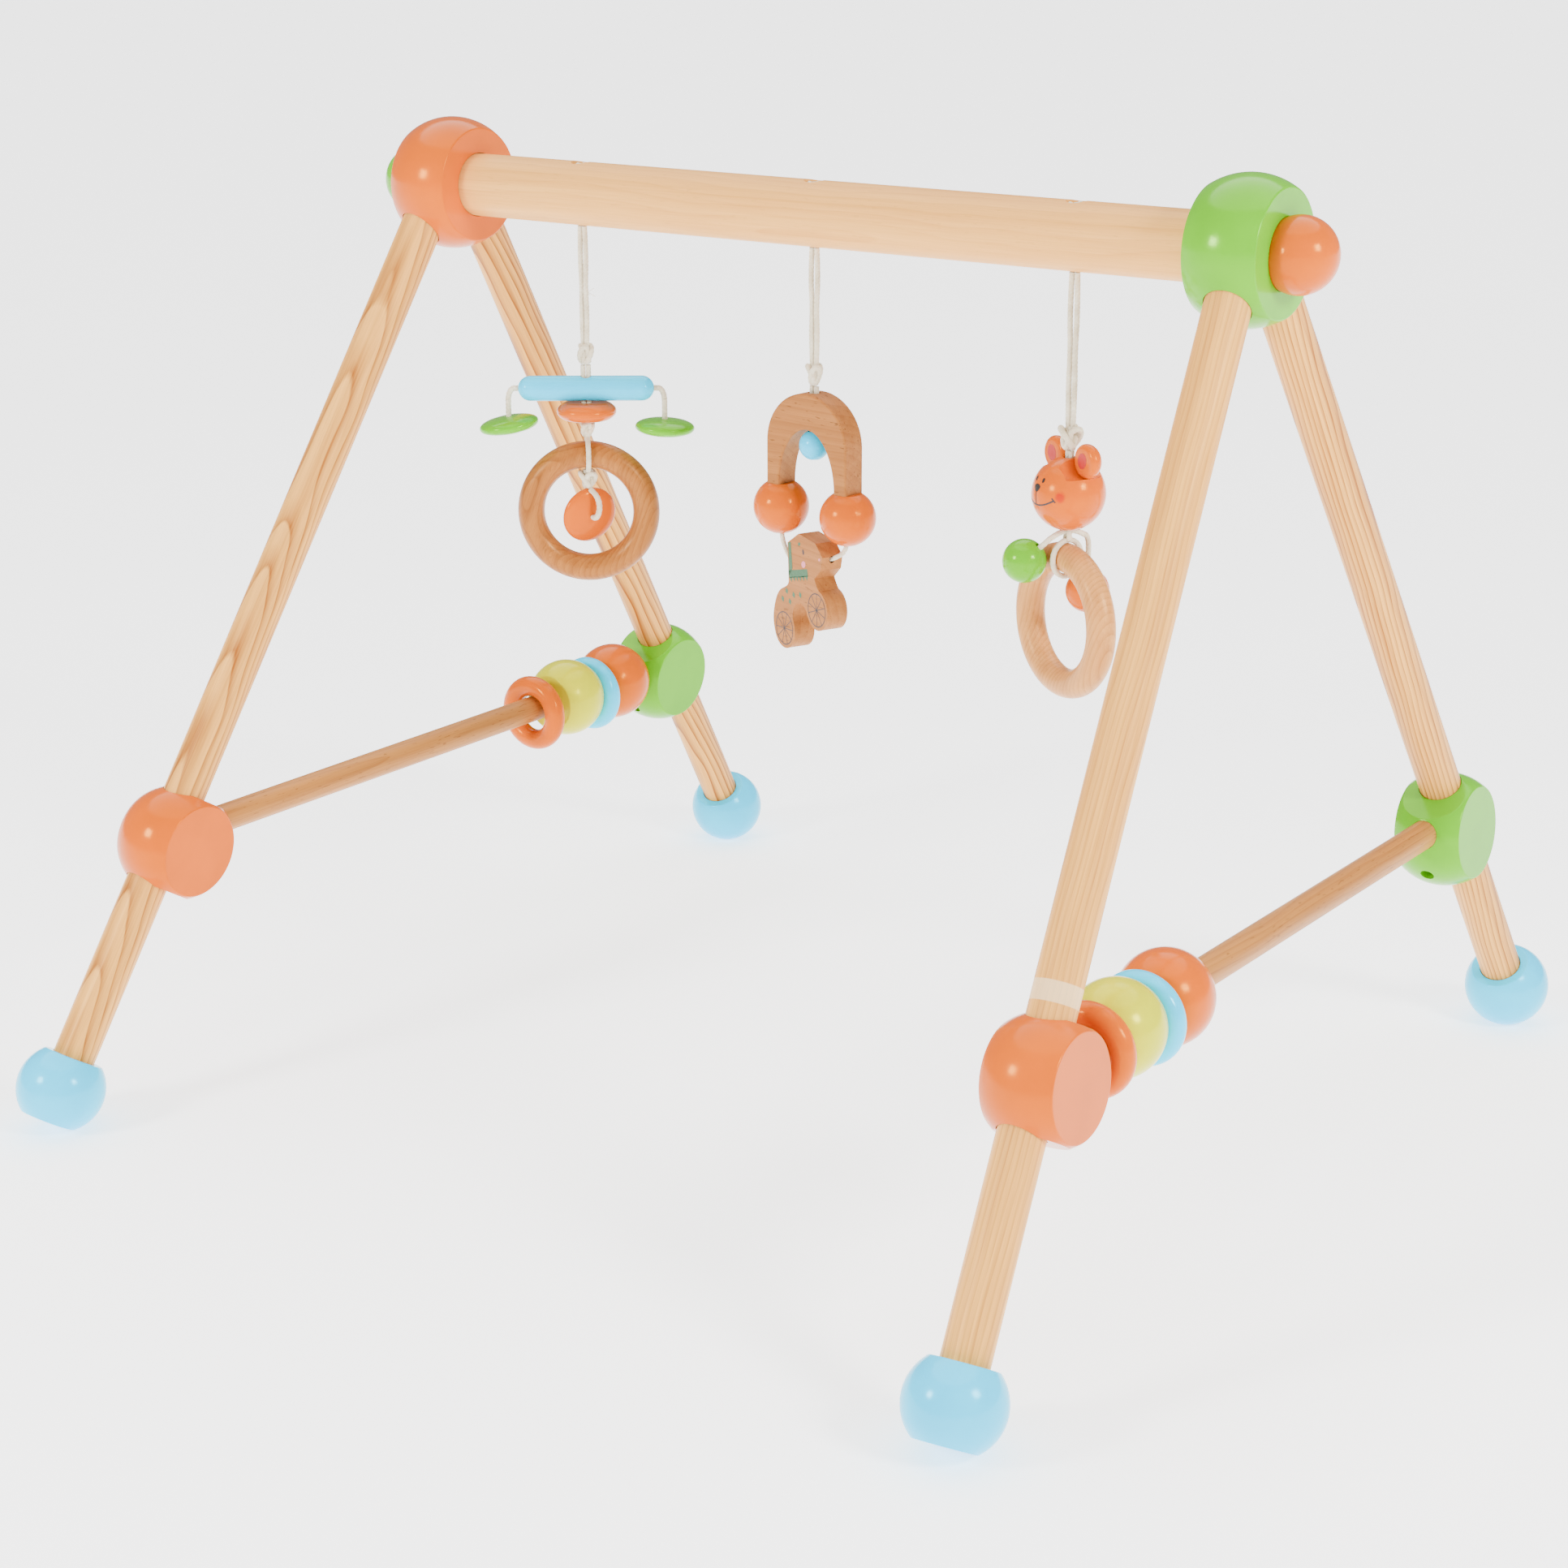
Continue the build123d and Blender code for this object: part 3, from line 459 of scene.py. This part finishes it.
def wisps(name, body, start, leans, length, node):
    """Fine loose fibres standing off a cord."""
    vertices, faces = [], []
    for k, lean in enumerate(leans):
        bend = Vector(lean).normalized() * length * (1.0 - 0.17 * k)
        sag = Vector((0, 0, -0.22 * length * (k % 3 - 0.6)))
        points = spline_points([start, start + bend * 0.4 + sag * 0.3, start + bend + sag])
        tube(vertices, faces, points, 0.13 * MM, sides=6, groove=0.0)
    made = make_object(name, body, vertices, faces, cord_cotton)
    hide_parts(node)
    return made


# ---- cords ----
BAR_BOTTOM = 445.2 * MM


def hanging_cord(side, x, knot_top, knot_centre, radius, half_height, drift, spin):
    """Two strands from the crossbar to their knot. They touch, part a little and meet again."""
    body, node = f"{side}_line", f"{side}_cord"
    tied = knot_piece(f"{side} knot", body, Vector((x, 0, knot_centre * MM)), radius * MM,
                      half_height * MM, node, spin, 1.5 * MM)
    drop = BAR_BOTTOM - knot_top * MM
    for sign in (-1, 1):
        off = [1.45, 1.75 + drift, 1.4, 1.7, 1.2]
        across = [0.0, 0.35, -0.3, 0.25, 0.0]
        route = []
        for i, (a, b) in enumerate(zip(off, across)):
            z = BAR_BOTTOM - drop * i / 4
            route.append(Vector((x + sign * a * MM, sign * b * MM, z)))
        strand, line = cord_piece(f"{side} strand {'a' if sign < 0 else 'b'}", body, route, node)
        tuple(route[0])
        round(line_length(line), 4)
        [tuple(p) for p in line]


hanging_cord("left", LEFT_X, 382.0, 377.5, 4.9, 5.7, 0.1, 0.4)
hanging_cord("middle", MIDDLE_X, 386.0, 381.5, 4.9, 5.7, 0.3, 1.3)
hanging_cord("right", RIGHT_X, 370.5, 366.6, 6.7, 6.2, 0.2, 2.2)
wisps("left fray", "left_line", Vector((LEFT_X + 2.6 * MM, 0, 0.4105)),
      [(1, -0.2, 0.35), (1, 0.3, -0.4), (0.7, -0.5, 0.1)], 5.5 * MM, "left_cord")

# the animal's cord runs from one arch ball through the head to the other
arch_x = turn(ARCH_TURN)[0]
animal_x, animal_y = turn(ANIMAL_TURN)
HOLE_CENTRE = Vector((0, 0, 0.284))
rise = math.radians(17.5)
hole_axis = animal_x * math.cos(rise) + Vector((0, 0, math.sin(rise)))
route = [-arch_x * 0.0225 + Vector((0, 0, 0.3010)), -arch_x * 0.0225 + Vector((0, 0, 0.2915)),
         HOLE_CENTRE - hole_axis * 0.0195, HOLE_CENTRE - hole_axis * 0.0090,
         HOLE_CENTRE + hole_axis * 0.0090, HOLE_CENTRE + hole_axis * 0.0185,
         arch_x * 0.0225 + Vector((0, 0, 0.2935)), arch_x * 0.0225 + Vector((0, 0, 0.3020))]
threaded, line = cord_piece("animal cord", "middle_arch", route, "animal_cord", 1.25 * MM)
tuple(route[0])
round(line_length(line), 4)
[tuple(p) for p in line]


def stacked(x, low, high, lateral, gap=1.45):
    """Two short strands side by side between two heights."""
    side = turn(lateral)[0] * gap * MM
    for sign in (-1, 1):
        base = Vector((x, 0, 0)) + side * sign
        yield [base + Vector((0, 0, (low + (high - low) * share) * MM)) for share in (0.0, 0.35, 0.7, 1.0)]


def join_cords(name, body, node, routes, rings=(), radius=CORD_R):
    """Several short runs of cord, and closed loops of it, as one piece."""
    vertices, faces = [], []
    for route in routes:
        tube(vertices, faces, evenly(spline_points(route), 0.4 * MM), radius)
    for points in rings:
        tube(vertices, faces, points, radius, closed=True)
    made = make_object(name, body, vertices, faces, cord_cotton)
    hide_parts(node)
    return made


def loop(centre, axis, radius, lean=0.0):
    """A closed loop of cord round a ring's tube."""
    up = Vector((0, 0, 1))
    across = Vector(axis).cross(up).normalized()
    points = []
    for i in range(90):
        a = 2 * math.pi * i / 90
        slide = Vector(axis) * lean * math.sin(a)
        points.append(centre + radius * (math.cos(a) * up + math.sin(a) * across) + slide)
    return points


left_x, left_y = turn(LEFT_TURN)
centre = Vector((LEFT_X, 0, 0))
join_cords("left neck", "left_bar", "left_inner_cord",
           list(stacked(LEFT_X, 337.0, 371.6, LEFT_TURN)) + list(stacked(LEFT_X, 310.0, 315.0, LEFT_TURN)),
           [loop(centre + Vector((0, 0, 323.2 * MM)), left_x, 8.9 * MM, 1.1 * MM)])
for name, height, radius, half_height, spin in (("left lower knot", 337.0, 4.4, 4.6, 0.9),
                                                ("left ring knot", 309.5, 5.7, 5.2, 2.0)):
    knot_piece(name, "left_bar", centre + Vector((0, 0, height * MM)), radius * MM, half_height * MM,
               "left_inner_cord", spin)
END_CORD_R = 1.55 * MM
SPREADER_REACH = 41.9   # millimetres from the middle of the spreader bar to the cords at its ends
ends = []
for sign in (-1, 1):
    reach = [(6.0, 0.0), (20.0, 0.0), (35.0, 0.0), (41.2, 0.3), (SPREADER_REACH, -5.7)]
    ends.append([centre + left_x * sign * a * MM + Vector((0, 0, (359.0 + b) * MM)) for a, b in reach])
join_cords("spreader cords", "left_bar", "spreader_cord", ends, radius=END_CORD_R)
for side, letter in (("left", "a"), ("right", "b")):
    base = centre + left_x * SIDES[side] * SPREADER_REACH * MM
    heights = (338.8, 343.0, 348.0, 353.2)
    join_cords(f"disc cord {side}", f"left_disc_{letter}", f"disc_cord_{side}",
               [[base + Vector((0, 0, z * MM)) for z in heights]], radius=END_CORD_R)

DISC_CENTRE = centre + left_y * 2.5 * MM + Vector((0, 0, 289.5 * MM))
up = Vector((0, 0, 1))
disc_out = (-left_y * 0.80 + left_x * 0.46 - up * 0.18).normalized()
DISC_POLE = DISC_CENTRE + disc_out * DISC_HALF_H * MM
route = [DISC_CENTRE - left_y * a * MM + left_x * b * MM + up * c * MM
         for a, b, c in ((4.6, 1.2, 14.6), (7.4, 4.4, 13.0), (9.0, 6.6, 6.5), (8.6, 5.2, 0.6))]
join_cords("ring disc cord", "left_ring_disc", "ring_disc_cord",
           [route + [DISC_POLE + disc_out * 1.6 * MM, DISC_POLE - disc_out * 3.0 * MM]], radius=END_CORD_R)

join_cords("middle neck", "middle_arch", "middle_inner_cord",
           list(stacked(MIDDLE_X, 340.5, 375.6, ARCH_TURN)))
ring_x, ring_y = turn(RIGHT_RING_TURN)
hang = Vector((RIGHT_X, 0, 0))
stub = ((0.8, 321.2), (3.6, 320.9), (7.6, 319.4), (10.9, 317.7))
stubs = [[hang + ring_y * way * reach * MM + Vector((0, 0, height * MM)) for reach, height in stub]
         for way in (-1, 1)]
join_cords("right neck", "bear", "right_inner_cord",
           list(stacked(RIGHT_X, 316.5, 360.2, RIGHT_RING_TURN)) + stubs,
           [loop(hang + Vector((0, 0, 307.6 * MM)), ring_x, 8.9 * MM, 1.2 * MM)])
for colour, place in (("green", (-9.0, -18.6, 306.5)), ("orange", (0.0, 12.5, 290.0))):
    outward = math.copysign(12.3, place[1])
    top = hang + ring_y * outward * MM + Vector((0, 0, 316.6 * MM))
    ball = hang + ring_x * place[0] * MM + ring_y * place[1] * MM + Vector((0, 0, place[2] * MM))
    inward = top - ring_y * math.copysign(2.2, place[1]) * MM + Vector((0, 0, 1.6 * MM))
    join_cords(f"{colour} ball cord", f"{colour}_ball", f"{colour}_ball_cord",
               [[inward, top, top.lerp(ball, 0.35), top.lerp(ball, 0.75)]])
tip = hang + ring_x * -18.5 * MM + ring_y * -21.0 * MM + Vector((0, 0, 301.5 * MM))
wisps("green ball fray", "green_ball", tip, [(-0.8, -0.3, -0.5), (-1, 0.1, -0.1), (-0.6, -0.4, -0.9)],
      3.2 * MM, "green_ball_cord")

# stop knots in the counterbores on top of the crossbar
for i, x in enumerate((LEFT_X, MIDDLE_X, RIGHT_X)):
    knot_piece(f"stop knot {i + 1}", FRAME, Vector((x, 0, 0.4735)), 4.5 * MM, 4.4 * MM,
               "cord_anchors", 0.7 * i)
    join_cords(f"stop strands {i + 1}", FRAME, "cord_anchors", list(stacked(x, 447.0, 472.0, 0.0)))


# ---- finishes of the turned and cut pieces ----
def finish_node(name, material):
    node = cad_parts[name]
    node.data.materials.clear()
    node.data.materials.append(material)


finish_node("crossbar", wood("beech bar", (0, 0, 0.462), (1, 0, 0), PALE_BEECH, WARM_BEECH,
                             pith=(0.045, 0.030), ring=4.5 * MM, taper=0.004, figure=0.22, flecks=0.12))
for side, sign in SIDES.items():
    finish_node(f"side_rod_{side}",
                wood(f"beech rod {side}", (sign * 0.267, 0, 0.14), (0, 1, 0), tint(0.52, 0.22, 0.050),
                     tint(0.22, 0.068, 0.012), pith=(0.03, sign * 0.02), ring=3.2 * MM, taper=0.01,
                     figure=0.30, flecks=0.45))
    for end, way in ENDS.items():
        apex, down = leg_line(sign, way)
        key = f"{end}_{side}"
        pine = wood(f"pine leg {key}", apex, down, PALE_PINE, DARK_PINE, **LEG_FIGURE[key])
        finish_node(f"leg_{key}", pine)
        finish_node(f"foot_{key}", blue)
        finish_node(f"mid_ball_{key}", orange if end == "front" else green)
    finish_node(f"arch_ball_{side}", orange)
for name in ("hanger_bolts", "lock_screws"):
    finish_node(name, plated)
for name in ("top_ball_left", "end_knob_right", "bead_left_orange_ball", "bead_left_orange_ring",
             "bead_right_orange_ring", "bead_right_orange_ball", "orange_disc", "orange_ball"):
    finish_node(name, orange)
for name in ("top_ball_right", "end_knob_left", "green_ball"):
    finish_node(name, green)
for name in ("bead_left_blue_ring", "bead_right_blue_ring", "spreader_bar", "blue_bead"):
    finish_node(name, blue)
for name in ("bead_left_yellow_ball", "bead_right_yellow_ball"):
    finish_node(name, yellow)
finish_node("bear_head", bear_orange)
finish_node("grasp_ring_left", turned_ring("left ring beech", (LEFT_X, 0, 0.292), left_y,
                                           tint(0.44, 0.16, 0.032), tint(0.17, 0.042, 0.007)))
finish_node("grasp_ring_right", turned_ring("right ring beech", (RIGHT_X, 0, 0.2764), ring_y,
                                            tint(0.72, 0.33, 0.095), tint(0.36, 0.12, 0.026), 0.12))
finish_node("arch", wood("arch beech", (0, 0, 0.34), arch_x, tint(0.42, 0.16, 0.040),
                         tint(0.20, 0.060, 0.013), pith=(0.03, 0.04), ring=4.0 * MM, taper=0.0,
                         figure=0.25, flecks=0.75, gloss=0.5))
finish_node("wooden_animal", wood("animal beech", (0, 0, 0.28), animal_x, tint(0.46, 0.18, 0.048),
                                  tint(0.22, 0.068, 0.015), pith=(0.05, 0.03), ring=4.0 * MM, taper=0.0,
                                  figure=0.22, flecks=0.5, gloss=0.5))


def turned(centre, axis, across, profile, sides):
    """A closed turned form: profile's (radius, height) points about an axis, its ends on the axis."""
    other = axis.cross(across)
    vertices, faces = [centre + axis * profile[0][1]], []
    for reach, height in profile[1:-1]:
        for k in range(sides):
            a = 2 * math.pi * k / sides
            vertices.append(centre + axis * height + (across * math.cos(a) + other * math.sin(a)) * reach)
    vertices.append(centre + axis * profile[-1][1])
    rows = len(profile) - 2
    last = 1 + (rows - 1) * sides
    for k in range(sides):
        n = (k + 1) % sides
        faces.append((0, 1 + k, 1 + n))
        for r in range(rows - 1):
            low, high = 1 + r * sides, 1 + (r + 1) * sides
            faces.append((low + n, low + k, high + k, high + n))
        faces.append((last + n, last + k, len(vertices) - 1))
    return vertices, faces


def lens_piece(name, body, centre, axis, radius, half_height, material, node):
    """A thick lens with a rounded rim about an axis, standing for its CAD node."""
    rows = 22
    profile = [(0.0, half_height)]
    for r in range(1, rows):
        a = math.pi * r / rows
        height = half_height * math.copysign(abs(math.cos(a)) ** 0.92, math.cos(a))
        profile.append((radius * math.sin(a) ** 0.86, height))
    profile.append((0.0, -half_height))
    vertices, faces = turned(centre, axis, axis.orthogonal().normalized(), profile, 64)
    made = make_object(name, body, vertices, faces, material)
    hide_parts(node)
    return made


lens_piece("ring disc", "left_ring_disc", DISC_CENTRE, disc_out, (DISC_R - 0.5) * MM, DISC_HALF_H * MM,
           orange, "ring_disc")
for side, letter, drop, lean in (("left", "a", 0.0, 9.0), ("right", "b", 1.6, -3.0)):
    slope = math.radians(lean)
    centre = Vector((LEFT_X, 0, (GREEN_DISC_Z - drop) * MM)) + left_x * SIDES[side] * SPREADER_REACH * MM
    axis = Vector((0, 0, math.cos(slope))) - left_x * math.sin(slope)
    lens_piece(f"green disc {side}", f"left_disc_{letter}", centre, axis, DISC_R * MM, DISC_HALF_H * MM,
               green, f"green_disc_{side}")


# ---- painted details ----
PAINT_LIFT = 0.07 * MM


def circle(x, z, rx, rz=None, count=28, tilt=0.0):
    rz = rx if rz is None else rz
    points = []
    for i in range(count):
        a = 2 * math.pi * i / count
        p, q = rx * math.cos(a), rz * math.sin(a)
        across = p * math.cos(tilt) - q * math.sin(tilt)
        up = p * math.sin(tilt) + q * math.cos(tilt)
        points.append((x + across, z + up))
    return points


def filled(vertices, faces, outline, place, rings=5):
    """A painted patch: rings of the outline drawn in towards its middle, each put on the surface."""
    cx = sum(p[0] for p in outline) / len(outline)
    cz = sum(p[1] for p in outline) / len(outline)
    start, n = len(vertices), len(outline)
    for r in range(rings):
        k = 1.0 - r / rings
        vertices.extend(place(cx + (x - cx) * k, cz + (z - cz) * k) for x, z in outline)
    vertices.append(place(cx, cz))
    for r in range(rings - 1):
        low, high = start + r * n, start + (r + 1) * n
        faces.extend((low + i, low + (i + 1) % n, high + (i + 1) % n, high + i) for i in range(n))
    last, middle = start + (rings - 1) * n, start + rings * n
    faces.extend((last + i, last + (i + 1) % n, middle) for i in range(n))


def stroke(vertices, faces, points, width, place):
    """A painted line of even width through points."""
    start = len(vertices)
    for i, (x, z) in enumerate(points):
        before, after = points[max(i - 1, 0)], points[min(i + 1, len(points) - 1)]
        dx, dz = after[0] - before[0], after[1] - before[1]
        size = math.hypot(dx, dz)
        for sign in (-0.5, 0.5):
            vertices.append(place(x - sign * width * dz / size, z + sign * width * dx / size))
    for i in range(len(points) - 1):
        a = start + 2 * i
        faces.append((a, a + 1, a + 3, a + 2))


def arc(x0, z0, x1, z1, sag, count=14):
    """A shallow curve between two points, sagging downward."""
    shares = [i / count for i in range(count + 1)]
    return [(x0 + (x1 - x0) * t, z0 + (z1 - z0) * t - sag * 4 * t * (1 - t)) for t in shares]


def painted(name, body, material, draw):
    vertices, faces = [], []
    draw(vertices, faces)
    return make_object(name, body, vertices, faces, material)


FACE_X = -1.6
EAR_R, EAR_FRONT, EAR_BACK = 8.4, 2.4, 6.3


def ear_centre(side):
    return BEAR_CENTRE + bear_x * side * 12.5 * MM + bear_y * 1.0 * MM + Vector((0, 0, 17.5 * MM))


def make_ears():
    """Two short pegs with a flat, softly rounded front and a domed back."""
    soft = 2.6
    side_start = soft - EAR_FRONT
    profile = [(0.0, -EAR_FRONT), (0.5 * EAR_R, -EAR_FRONT)]
    for i in range(7):
        a = math.pi / 2 * i / 6
        profile.append((EAR_R - soft + soft * math.sin(a), -EAR_FRONT + soft * (1 - math.cos(a))))
    for i in range(1, 13):
        a = math.pi / 2 * i / 12
        profile.append((EAR_R * math.cos(a), side_start + (EAR_BACK - side_start) * math.sin(a)))
    metres = [(reach * MM, -depth * MM) for reach, depth in profile]
    for side, name in ((-1, "left"), (1, "right")):
        vertices, faces = turned(ear_centre(side), -bear_y, bear_x, metres, 56)
        ear = make_object(f"bear ear {name}", "bear", vertices, faces, orange)
        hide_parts("bear_ears")


make_ears()


def bear_place(x, z):
    return on_bear(x, z, PAINT_LIFT)


def draw_bear_face(v, f):
    for side in (-1, 1):
        filled(v, f, circle(FACE_X + side * 3.1, 8.2, 0.85, 1.15), bear_place, 3)
    nose = [(-2.5, 5.2), (-1.4, 6.0), (0.0, 6.2), (1.4, 6.0), (2.5, 5.2),
            (2.1, 3.9), (1.0, 2.7), (0.0, 2.2), (-1.0, 2.7), (-2.1, 3.9)]
    filled(v, f, [(FACE_X + x, z) for x, z in nose], bear_place, 4)
    stroke(v, f, [(FACE_X, z) for z in (2.6, 1.2, -0.4, -1.9, -3.3)], 0.65, bear_place)
    stroke(v, f, arc(FACE_X - 9.9, -0.4, FACE_X + 10.9, -0.4, 3.4, 26), 0.8, bear_place)
    for side in (-1, 1):
        end = FACE_X + 0.5 + side * 10.4
        stroke(v, f, [(end - side * 0.8, 0.8), (end, -0.4), (end + side * 0.8, -1.2)], 0.7, bear_place)


painted("bear face", "bear", black_paint, draw_bear_face)


def draw_ears(v, f):
    for sign in (-1, 1):
        front = ear_centre(sign) - bear_y * EAR_FRONT * MM

        def place(x, z):
            return front - bear_y * PAINT_LIFT + bear_x * x * MM + Vector((0, 0, z * MM))
        filled(v, f, circle(-0.4, 0.3, 3.4, 3.9, 30, -0.35 * sign), place, 2)


painted("bear ear ovals", "bear", red_paint, draw_ears)

PITCH = math.radians(27.0)
outline_x = animal_x * math.cos(PITCH) + Vector((0, 0, math.sin(PITCH)))
outline_z = -animal_x * math.sin(PITCH) + Vector((0, 0, math.cos(PITCH)))
outline_origin = HOLE_CENTRE - outline_x * 35.5 * MM - outline_z * 25.0 * MM


def animal_place(side):
    """Puts a point of the animal's outline on its face towards the front (-1) or the back (1)."""
    face = animal_y * side * (6.0 * MM + PAINT_LIFT)
    return lambda x, z: outline_origin + face + outline_x * x * MM + outline_z * z * MM


def draw_wheels(v, f):
    for side in (-1, 1):
        place = animal_place(side)
        for x, first in ((0.0, 0.2), (37.0, 0.5)):
            rim = circle(x, 0.0, 8.6, count=48)
            stroke(v, f, rim + rim[:2], 0.6, place)
            for k in range(5):
                a = first + math.pi * k / 5
                dx, dz = 8.4 * math.cos(a), 8.4 * math.sin(a)
                stroke(v, f, [(x - dx, -dz), (x, 0.0), (x + dx, dz)], 0.45, place)
        filled(v, f, circle(37.5, 31.0, 0.95, 1.5, 20, -0.2), place, 2)


def draw_mane(v, f):
    for side in (-1, 1):
        place = animal_place(side)
        start = len(v)
        inner = [(27.6, 39.4), (26.0, 35.0), (24.4, 30.5), (22.9, 26.4)]
        outer = [(24.7, 39.6), (22.2, 34.0), (20.0, 28.8), (17.9, 24.0)]
        v.extend(place(x, z) for pair in zip(outer, inner) for x, z in pair)
        f.extend((start + 2 * i, start + 2 * i + 1, start + 2 * i + 3, start + 2 * i + 2) for i in range(3))
        for k in range(6):
            t = k / 5.5
            x, z = 17.3 + 17.5 * t, 22.6 - 4.2 * t
            tooth = [(x, z), (x + 3.4, z - 0.7), (x + 4.2, z + 3.2), (x + 0.8, z + 4.0)]
            filled(v, f, tooth, place, 1)
            filled(v, f, [(x + 0.2, z + 0.4), (x + 1.5, z - 2.6), (x + 3.3, z)], place, 1)
        for x, z in ((5.5, 14.6), (11.5, 17.2), (17.6, 13.4), (24.2, 11.6), (12.2, 11.2)):
            filled(v, f, [(x - 1.5, z), (x, z - 1.9), (x + 1.5, z), (x, z + 1.9)], place, 1)
        filled(v, f, circle(35.4, 35.9, 1.3, 0.9), place, 1)


def draw_cheek(v, f):
    for side in (-1, 1):
        place = animal_place(side)
        filled(v, f, circle(34.8, 25.1, 2.1, 1.7), place, 2)
        filled(v, f, circle(51.6, 23.0, 1.0, 0.7), place, 1)


painted("animal wheels and eye", "animal", dark_paint, draw_wheels)
painted("animal mane", "animal", green_paint, draw_mane)
painted("animal cheek", "animal", pink_paint, draw_cheek)


# ---- floor and light ----
def make_stage():
    s = Shader("white floor")
    haze = s.noise(s.place, 3.0, 2.0)
    s.set(base_color=s.mix(haze, (0.93, 0.93, 0.93, 1.0), (0.96, 0.96, 0.96, 1.0)), roughness=0.85)
    s.bsdf.inputs["Specular IOR Level"].default_value = 0.1
    s.set(emission_color=(1.0, 1.0, 1.0, 1.0), emission_strength=1.7)
    mesh = bpy.data.meshes.new("floor")
    half = 40.0
    corners = [(-half, -half, 0), (half, -half, 0), (half, half, 0), (-half, half, 0)]
    mesh.from_pydata(corners, [], [(0, 1, 2, 3)])
    mesh.materials.append(s.material)
    floor = bpy.data.objects.new("floor", mesh)
    bpy.context.scene.collection.objects.link(floor)
    world = bpy.data.worlds.new("studio")
    world.use_nodes = True
    world.node_tree.nodes["Background"].inputs[0].default_value = (1.0, 1.0, 1.0, 1.0)
    world.node_tree.nodes["Background"].inputs[1].default_value = 0.40
    bpy.context.scene.world = world
    target = Vector((0, 0, 0.22))
    above = bpy.data.lights.new("overhead", "SUN")
    above.energy = 4.3
    above.angle = math.radians(75)
    overhead = bpy.data.objects.new("overhead", above)
    overhead.rotation_euler = (math.radians(-12), math.radians(-10), 0)
    bpy.context.scene.collection.objects.link(overhead)
    for name, way, away, width, power in (("right softbox", (0.873, -0.125, 0.472), 1.9, 0.42, 40.0),
                                          ("left softbox", (-0.343, -0.851, 0.392), 1.9, 0.36, 32.0)):
        data = bpy.data.lights.new(name, "AREA")
        data.shape = "SQUARE"
        data.size = width
        data.energy = power
        light = bpy.data.objects.new(name, data)
        way = Vector(way).normalized()
        light.location = target + way * away
        light.rotation_euler = (-way).to_track_quat("-Z", "Y").to_euler()
        bpy.context.scene.collection.objects.link(light)


make_stage()
